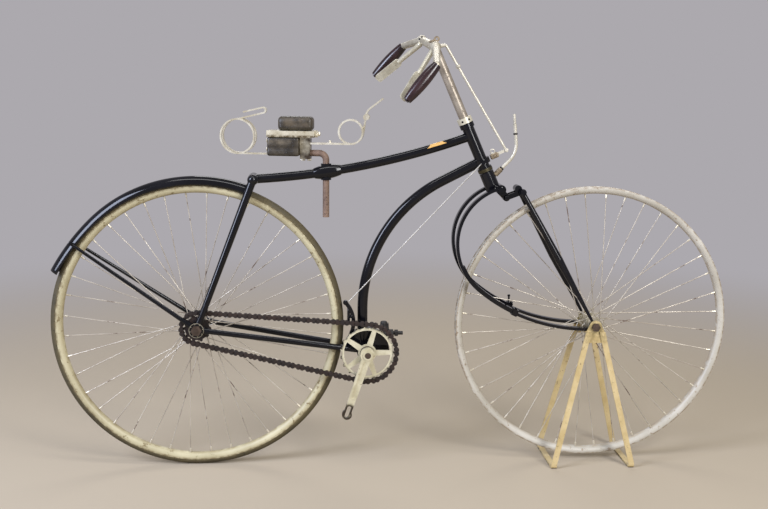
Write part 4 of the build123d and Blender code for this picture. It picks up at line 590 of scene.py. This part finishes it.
# Rusted steel: a dry dark brown with hardly any shine.
chain_rust = finish("rusted_chain_steel", tones=("1C1411", "34261F"), patch_mm=18, spots="0E0A08", spot_mm=4,
                    spot_cut=0.55, rough=(0.6, 0.8), bump_mm=1.2, bump_depth=0.2, metal=0.3)
dress(chain_rust, "chain", "rear_sprocket")
centres, big_radius, small_radius = 447.79, 77.159, 41.098
lean = asin((big_radius - small_radius) / centres)
bracket_x, bracket_z = 442.285, 311
slope = atan2(bracket_z - hub_height, bracket_x)
link_count, chain_pitch, block_pins, chain_y = 50, 25.4, 10.2, -40
boss_radius, boss_half, boss_out = 5.8, 5.0, 1.6
cheek_radius, cheek_near, cheek_wall, cheek_out = 6.9, 4.4, 1.6, 0.4
mesh = bmesh.new()
for k in range(link_count):
    for shift in (-block_pins / 2, block_pins / 2):
        pin = chain_place(k * chain_pitch + shift)
        run = (chain_place(k * chain_pitch + shift + 1) - pin).normalized()
        out = Vector((-run.y, run.x))
        boss = pin + out * boss_out
        boss_foot = at(boss.x, chain_y + boss_half, hub_height + boss.y)
        bolt_head(mesh, boss_foot, (0, -1, 0), boss_radius, height=2 * boss_half, sides=10)
        cheek = pin + out * cheek_out
        for side in (-1, 1):
            cheek_foot = at(cheek.x, chain_y + side * cheek_near, hub_height + cheek.y)
            bolt_head(mesh, cheek_foot, (0, side, 0), cheek_radius, cheek_wall, sides=10)
            rivet_foot = at(pin.x, chain_y + side * (cheek_near + cheek_wall), hub_height + pin.y)
            bolt_head(mesh, rivet_foot, (0, side, 0), radius=2.6, height=0.8, sides=6)
fit("chain_bosses", mesh, chain_rust, "frame")

# Chainwheel: forged steel with five arms, nickelled, keyed on the spindle. It is now cream with grime, and
# its teeth are painted black as the shade in the gap under the chain.
# Nickel plate: cream, with painted black shade at the teeth and brown dirt round the hub.
wheel_nickel = finish("nickel_plate_shaded_teeth", tones=("BDB699", "D5CFB6"), patch_mm=30, spots="7A6A52", spot_mm=7,
                      spot_cut=0.62, rough=(0.32, 0.48), bump_mm=1.5, bump_depth=0.08, metal=0.35)
bracket_place = at(bracket_x, 0, bracket_z)
# Painted shade: the teeth are blackened where the chain's blocks cover them.
stain_and_shade(wheel_nickel, "2A211A", bracket_place, full_mm=69, none_mm=63.5, flat=(1, 0, 1), ragged_mm=8)
stain_and_shade(wheel_nickel, "5A4A38", bracket_place, full_mm=9, none_mm=16, flat=(1, 0, 1), ragged_mm=6)
dress(wheel_nickel, "chainwheel")

# Crank: a forged and nickelled bar with a slot for a pedal at its end. A nut holds it on the end of the
# steel spindle.
# Worn nickel plate: cream, with old black grease round the slot.
crank_nickel = finish("worn_crank_nickel", tones=("B9B193", "D2CBB0"), patch_mm=30, spots="7A6A52", spot_mm=7,
                      spot_cut=0.6, rough=(0.32, 0.48), bump_mm=1.5, bump_depth=0.08, metal=0.35)
crank_angle, slot_reach = radians(-108.4), 166
slot_place = at(bracket_x + slot_reach * cos(crank_angle), -60, bracket_z + slot_reach * sin(crank_angle))
stain_and_shade(crank_nickel, "33291D", slot_place, full_mm=22, none_mm=30, flat=(1, 0, 1), ragged_mm=40)
stain_and_shade(crank_nickel, "33291D", slot_place, full_mm=20, none_mm=27, flat=(1, 0, 1), ragged_mm=23)
dress(crank_nickel, "crank_right")
dress(axle_steel, "crank_spindle")
crank_face, spindle_proud = -66, 4.2
mesh = bmesh.new()
ring(mesh, at(bracket_x, crank_face, bracket_z), (0, -1, 0), inner=8.05, outer=12.5, height=spindle_proud)
fit("crank_nut", mesh, crank_nickel, "crank")

# Seat pillar: a round steel bar bent to an L, which slides in the seat lug and takes the saddle's clamp on
# its level arm.
# Rusted bar: an even reddish brown, nearly matt.
pillar_rust = finish("rusted_bar_steel", tones=("5A473C", "7F6858"), patch_mm=25, spots="41302A", spot_mm=6,
                     spot_cut=0.56, rough=(0.55, 0.75), bump_mm=1.2, bump_depth=0.15, metal=0.2)
dress(pillar_rust, "seat_pillar")

# Saddle springs: ribbons of spring steel rolled to a coil behind and one in front, which once carried the
# leather, plated and bolted to the clamp.
# Yellowed nickel plate: warm, with bright bands along the ribbon and brown specks.
spring_nickel = finish("yellow_nickel_plate", tones=("C2B89E", "E0DAC8"), patch_mm=25, spots="6E5C44", spot_mm=6,
                       spot_cut=0.61, rough=(0.2, 0.34), bump_mm=1.5, bump_depth=0.04, metal=0.55)
dress(spring_nickel, "saddle_rear_spring", "saddle_front_spring")

# Saddle clamp: a plated steel plate and block that grip the pillar and hold both springs, darker on the
# block below the plate.
# Nickel plate: a pale rail over a darker lower block, with a thin dark line at the plate's foot.
clamp_nickel = finish("clamp_nickel_dark_below", tones=("B3A98E", "D2CAB4"), patch_mm=25, spots="6E5C44", spot_mm=7,
                      spot_cut=0.58, rough=(0.28, 0.42), bump_mm=1.5, bump_depth=0.08, metal=0.5)
lower_block, plate_foot = (0, 0, 0.842), (0, 0, 0.876)
# Darker bands: the block below the plate, and a thin line at the plate's foot.
stain_and_shade(clamp_nickel, "3A3024", lower_block, full_mm=26, none_mm=33, flat=(0, 0, 1), ragged_mm=60)
stain_and_shade(clamp_nickel, "5E5038", plate_foot, full_mm=1, none_mm=5, flat=(0, 0, 1), ragged_mm=12)
dress(clamp_nickel, "saddle_clamp")

# Saddle packing: two blocks of old leather wedged above and below the clamp's plate, with rounded edges, a
# crease along the lower one and a crowned top on the upper one.
# Old leather: near black and half glossy, with a paler brown band high on each block.
old_leather = finish("old_black_leather", tones=("1E1912", "393124"), patch_mm=22, spots="120E0A", spot_mm=5,
                     spot_cut=0.58, rough=(0.34, 0.55), bump_mm=1.6, bump_depth=0.3)
upper_pale_band, lower_pale_band = (0, 0, 0.912), (0, 0, 0.862)
# Paler brown bands: one over the top of the upper block, one high on the sides of the lower block.
stain_and_shade(old_leather, "4C4131", upper_pale_band, full_mm=5, none_mm=14, flat=(0, 0, 1), ragged_mm=24)
stain_and_shade(old_leather, "5C5242", lower_pale_band, full_mm=3, none_mm=9, flat=(0, 0, 1), ragged_mm=26)
pillar_x, saddle_twist = 334, radians(-10)
crease_z, crease_depth, crease_half = 845, 1.8, 5
crown_from, crown_rise = 915, 3
lower_half, upper_half = 25, 22
long_edge = 0.012
# columns: back, front, half width, low, high, rounding
blocks = ((183.3, 266.8, lower_half, 825, 874, 6), (211, 301, upper_half, 890, 924, 10))
mesh = bmesh.new()
for back, front, half, low, high, rounding in blocks:
    shape = Matrix.Diagonal(((front - back) / 1000, 2 * half / 1000, (high - low) / 1000, 1))
    middle = Matrix.Translation(at((back + front) / 2, 0, (low + high) / 2))
    made = bmesh.ops.create_cube(mesh, size=1.0, matrix=middle @ shape)
    bmesh.ops.bevel(mesh, geom=edges_of(made), offset=rounding / 1000, segments=4, profile=0.5, affect="EDGES",
                    material=-1)
long_edges = [e for e in mesh.edges if e.calc_length() > long_edge]
bmesh.ops.subdivide_edges(mesh, edges=long_edges, cuts=7, use_grid_fill=True)
for vert in mesh.verts:
    height = vert.co.z * 1000
    vert.co.y *= 1 - crease_depth / lower_half * max(0, 1 - abs(height - crease_z) / crease_half)
    if height > crown_from:
        vert.co.z += crown_rise / 1000 * max(0, 1 - (vert.co.y / (upper_half / 1000)) ** 2)
for face in mesh.faces:
    face.smooth = True
bmesh.ops.rotate(mesh, verts=mesh.verts, cent=at(pillar_x, 0, 0), matrix=Matrix.Rotation(saddle_twist, 3, "Z"))
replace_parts(fit("saddle_packing_blocks", mesh, old_leather, "frame"), "saddle_pads")

# Saddle bolts: a nut and stud at the front of the plate, two nuts under the clamp, a stud on the front
# spring and four rivets behind, plated like the springs.
saddle_ahead = Vector((0.9848, -0.1736, 0))
saddle_across = Vector((0.1736, 0.9848, 0))
plate_end, plate_nut = at(307.4, 4.7, 882), 6
clamp_nuts, clamp_foot = ((274.9, 10.4), (290.7, 7.6)), 818
spring_stud = at(343.6, -8.8, 860.4)
back_x, back_y, rivet_half = 185.3, 26.2, 14
mesh = bmesh.new()
bolt_head(mesh, plate_end, saddle_ahead, radius=9, height=plate_nut, sides=6)
bolt_head(mesh, plate_end + saddle_ahead * (plate_nut / 1000), saddle_ahead, radius=5.5, height=6, sides=12)
for x, y in clamp_nuts:
    bolt_head(mesh, at(x, y, clamp_foot), (0, 0, -1), radius=6.5, height=5, sides=6)
bolt_head(mesh, spring_stud, (0, 0, 1), radius=3.4, height=6, sides=12)
for z in (842, 864):
    for side in (-1, 1):
        spot = at(back_x, back_y, z) + saddle_across * side * rivet_half / 1000
        bolt_head(mesh, spot, -saddle_ahead, radius=4.0, height=2.4, sides=12)
fit("saddle_bolts", mesh, spring_nickel, "frame")

# Stem: a steel tube that slides in the steerer and is brazed to the head of the handlebar, its plate nearly
# worn away.
# Brown nickel plate: a soft shine, browner where the steel shows.
stem_nickel = finish("brown_nickel_plate", tones=("7F7568", "A3998B"), patch_mm=40, spots="5E4E42", spot_mm=9,
                     spot_cut=0.6, rough=(0.32, 0.46), bump_mm=1.5, bump_depth=0.08, metal=0.5)
dress(stem_nickel, "stem")

# Handlebar: a cross tube with two bent arms held in sockets, plated steel that has flaked where hands and
# damp have been.
# Flaked nickel plate: pale, with brown steel in the gaps.
bar_nickel = finish("flaked_nickel_plate", tones=("9C9480", "BDB6A4"), patch_mm=26, spots="75593F", spot_mm=7,
                    spot_cut=0.6, rough=(0.3, 0.46), bump_mm=1.5, bump_depth=0.1, metal=0.45)
dress(bar_nickel, "handlebar")

# Hand levers and clamp ring: forged levers that end in a flat hand plate below each grip, and the split
# ring that pinches the head.
# Cream nickel plate: the palest metal here, with few specks.
lever_nickel = finish("cream_nickel_plate", tones=("B4AD97", "D0CAB6"), patch_mm=26, spots="6E604A", spot_mm=6,
                      spot_cut=0.63, rough=(0.26, 0.42), bump_mm=1.5, bump_depth=0.06, metal=0.4)
dress(lever_nickel, "brake_levers", "head_clamp_ring")

# Screws: two in the clamp ring and two in each socket of the handlebar, with flat round heads filed smooth.
# They stand just proud of what they hold.
# Screw iron: dark dots on the pale plate.
screw_iron = finish("dark_screw_iron", tones=("16130F", "2A231C"), patch_mm=5, spots="0C0A08", spot_mm=3,
                    spot_cut=0.6, rough=(0.5, 0.7), bump_mm=0.8, bump_depth=0.05, metal=0.4)
ring_rise, ring_radius, socket_radius = 0.0835, 0.0192, 0.0122
left_socket, right_socket = at(586.3, 76.0, 1124.6), at(604.4, -81.7, 1104.2)
# columns: socket, screw direction
screw_places = (
    (left_socket, (-0.6, -0.75, 0.2)), (left_socket, (-0.1, -0.8, 0.6)),
    (right_socket, (-0.45, -0.85, 0.15)), (right_socket, (-0.5, -0.5, -0.7)),
)
ring_screws = (radians(-62), radians(-118))
mesh = bmesh.new()
for angle in ring_screws:
    out = head_ahead * cos(angle) + Vector((0, 1, 0)) * sin(angle)
    spot = head_middle + head_axis * ring_rise + out * ring_radius
    bolt_head(mesh, spot, out, radius=2.9, height=1.4, sides=10)
for socket, out in screw_places:
    out = Vector(out).normalized()
    bolt_head(mesh, socket + out * socket_radius, out, radius=3.0, height=1.6, sides=10)
fit("clamp_and_socket_screws", mesh, screw_iron, "fork")

# Fittings on the bar's head: a cap nut on top, a ring for the brake rod's end and a nut on the near side,
# all screwed into the head.
# Bronze: brown with a soft shine.
brown_bronze = finish("brown_bronze", tones=("6A5C4B", "93846C"), patch_mm=12, spots="3A2E24", spot_mm=4,
                      spot_cut=0.6, rough=(0.3, 0.45), bump_mm=1.0, bump_depth=0.05, metal=0.5)
stem_top = at(610.3, 0, 1105.7)
cap_rise, nut_out = 0.0145, Vector((0, -0.0148, 0))
rod_eye = at(616, -3, 1126)
mesh = bmesh.new()
bolt_head(mesh, stem_top + head_axis * cap_rise, head_axis, radius=8, height=4.5, sides=6)
ring(mesh, rod_eye, (0, 1, 0), inner=3.2, outer=7.2, height=6)
bolt_head(mesh, stem_top + nut_out, (0, -1, 0), radius=5.5, height=3, sides=6)
fit("bar_head_fittings", mesh, brown_bronze, "fork")

# Grips: turned horn sleeves on the ends of the handlebar, each closed by a small rounded plug.
# They are swollen in the middle to fill the hand.
# Polished horn: dark maroon with sharp highlights.
grip_horn = finish("dark_maroon_horn", tones=("160B0C", "2C181A"), patch_mm=30, spots="0E0708", spot_mm=8,
                   spot_cut=0.66, rough=(0.16, 0.28), bump_mm=2.0, bump_depth=0.03)
dress(grip_horn, "grips")
plug_out = 0.0058
# columns: elbow, end of the bar
bar_ends = (((547.9, 195.1, 1110.9), (476.5, 213.0, 1035.5)), ((593.2, -199.0, 1059.7), (525.5, -212.7, 980.3)))
mesh = bmesh.new()
for elbow, end in bar_ends:
    run = (at(*end) - at(*elbow)).normalized()
    bolt_head(mesh, at(*end) + run * plug_out, run, radius=5.5, height=3.5, sides=14)
fit("grip_ends", mesh, grip_horn, "fork")

# Brake wire: one tinned wire stretched from the collar on the head down to the rear brake lever.
# It is tied off round the lever's knob.
# Tinned wire: a light grey line with few specks.
grey_wire = finish("grey_tinned_wire", tones=("A19C93", "BDB8AF"), patch_mm=30, spots="6E655A", spot_mm=9,
                   spot_cut=0.62, rough=(0.3, 0.45), bump_mm=1.5, bump_depth=0.03, metal=0.4)
dress(grey_wire, "brake_wire")

# Brake rod and lamp bracket: drawn steel rods, plated white. A coupling nut and its pin join the two lengths
# of the brake rod, and nuts hold its lower end on the arm.
# White nickel plate: bright and even, with a few brown specks.
rod_white = finish("white_nickel_rod", tones=("B5AF9F", "CBC5B6"), patch_mm=30, spots="7A6A54", spot_mm=7,
                   spot_cut=0.64, rough=(0.26, 0.4), bump_mm=1.5, bump_depth=0.05, metal=0.35)
dress(rod_white, "brake_rod", "lamp_bracket")
rod_top, rod_low = at(639.6, 0, 1111.1), at(803.6, 0, 843.7)
rod_run = (rod_low - rod_top).normalized()
coupling_share = 0.19
pin_along, pin_near = 0.004, Vector((0, -0.005, 0))
rod_half = Vector((0, 0.006, 0))
coupling = rod_top + (rod_low - rod_top) * coupling_share
coupling_pin = coupling + rod_run * pin_along + pin_near
mesh = bmesh.new()
bolt_head(mesh, coupling, rod_run, radius=6.5, height=8, sides=6)
bolt_head(mesh, coupling_pin, (0, -1, 0), radius=3, height=6, sides=10)
for side in (-1, 1):
    bolt_head(mesh, rod_low + side * rod_half, (0, side, 0), radius=5, height=3, sides=6)
fit("brake_rod_couplings", mesh, rod_white, "fork")

# Block on the brake arm: a cast bronze knuckle with rounded edges at the root of the arm, drawn up by a nut
# on the near side.
block_length, block_half, block_height, block_rounding = 22, 7, 14, 0.003
arm_ahead, arm_drop = 0.036, 0.032
block_middle = head_middle + head_ahead * arm_ahead - head_axis * arm_drop
turn = Matrix((head_ahead, (0, 1, 0), head_axis)).transposed().to_4x4()
shape = Matrix.Diagonal((block_length / 1000, 2 * block_half / 1000, block_height / 1000, 1))
mesh = bmesh.new()
bmesh.ops.create_cube(mesh, size=1.0, matrix=Matrix.Translation(block_middle) @ turn @ shape)
bmesh.ops.bevel(mesh, geom=mesh.edges[:], offset=block_rounding, segments=3, profile=0.5, affect="EDGES",
                material=-1)
bolt_head(mesh, block_middle - Vector((0, block_half / 1000, 0)), (0, -1, 0), radius=4, height=3, sides=6)
fit("brake_arm_block", mesh, brown_bronze, "fork")

# Spring on the brake arm: three turns of bright wire wound to a small coil that lies on the block and
# draws the arm back.
coil_radius, wire_radius, coil_turns, turn_steps, coil_length = 5.5, 1.2, 3, 20, 0.008
coil_middle = block_middle + head_axis * (block_height / 2 + coil_radius) / 1000
wire_start = Matrix.Translation(coil_middle + Vector((coil_radius / 1000, -coil_length / 2, 0)))
coil_steps = turn_steps * coil_turns
mesh = bmesh.new()
bmesh.ops.create_circle(mesh, segments=8, radius=wire_radius / 1000, matrix=wire_start)
bmesh.ops.spin(mesh, geom=mesh.verts[:] + mesh.edges[:], cent=coil_middle, axis=(0, 1, 0),
               angle=2 * pi * coil_turns, steps=coil_steps, dvec=(0, coil_length / coil_steps, 0))
bmesh.ops.recalc_face_normals(mesh, faces=mesh.faces)
fit("brake_arm_spring", mesh, rod_white, "fork")

# Lamp bracket fittings: a bronze ferrule at the bracket's root, with an iron collar above it, and another
# collar below the pin that takes a lamp.
lamp_root, lamp_run = at(762.4, 0, 764), Vector((0.6986, 0, 0.7155))
pin_foot, pin_run = at(827.4, 0, 884), Vector((-0.096, 0, 0.995))
ferrule_start, collar_start = 0.021, 0.043
mesh = bmesh.new()
bolt_head(mesh, lamp_root + lamp_run * ferrule_start, lamp_run, radius=7.2, height=22, sides=12)
fit("lamp_bracket_ferrule", mesh, brown_bronze, "fork")
mesh = bmesh.new()
bolt_head(mesh, lamp_root + lamp_run * collar_start, lamp_run, radius=6, height=4, sides=12)
bolt_head(mesh, pin_foot, pin_run, radius=5.8, height=4.5, sides=12)
fit("lamp_bracket_joints", mesh, screw_iron, "fork")
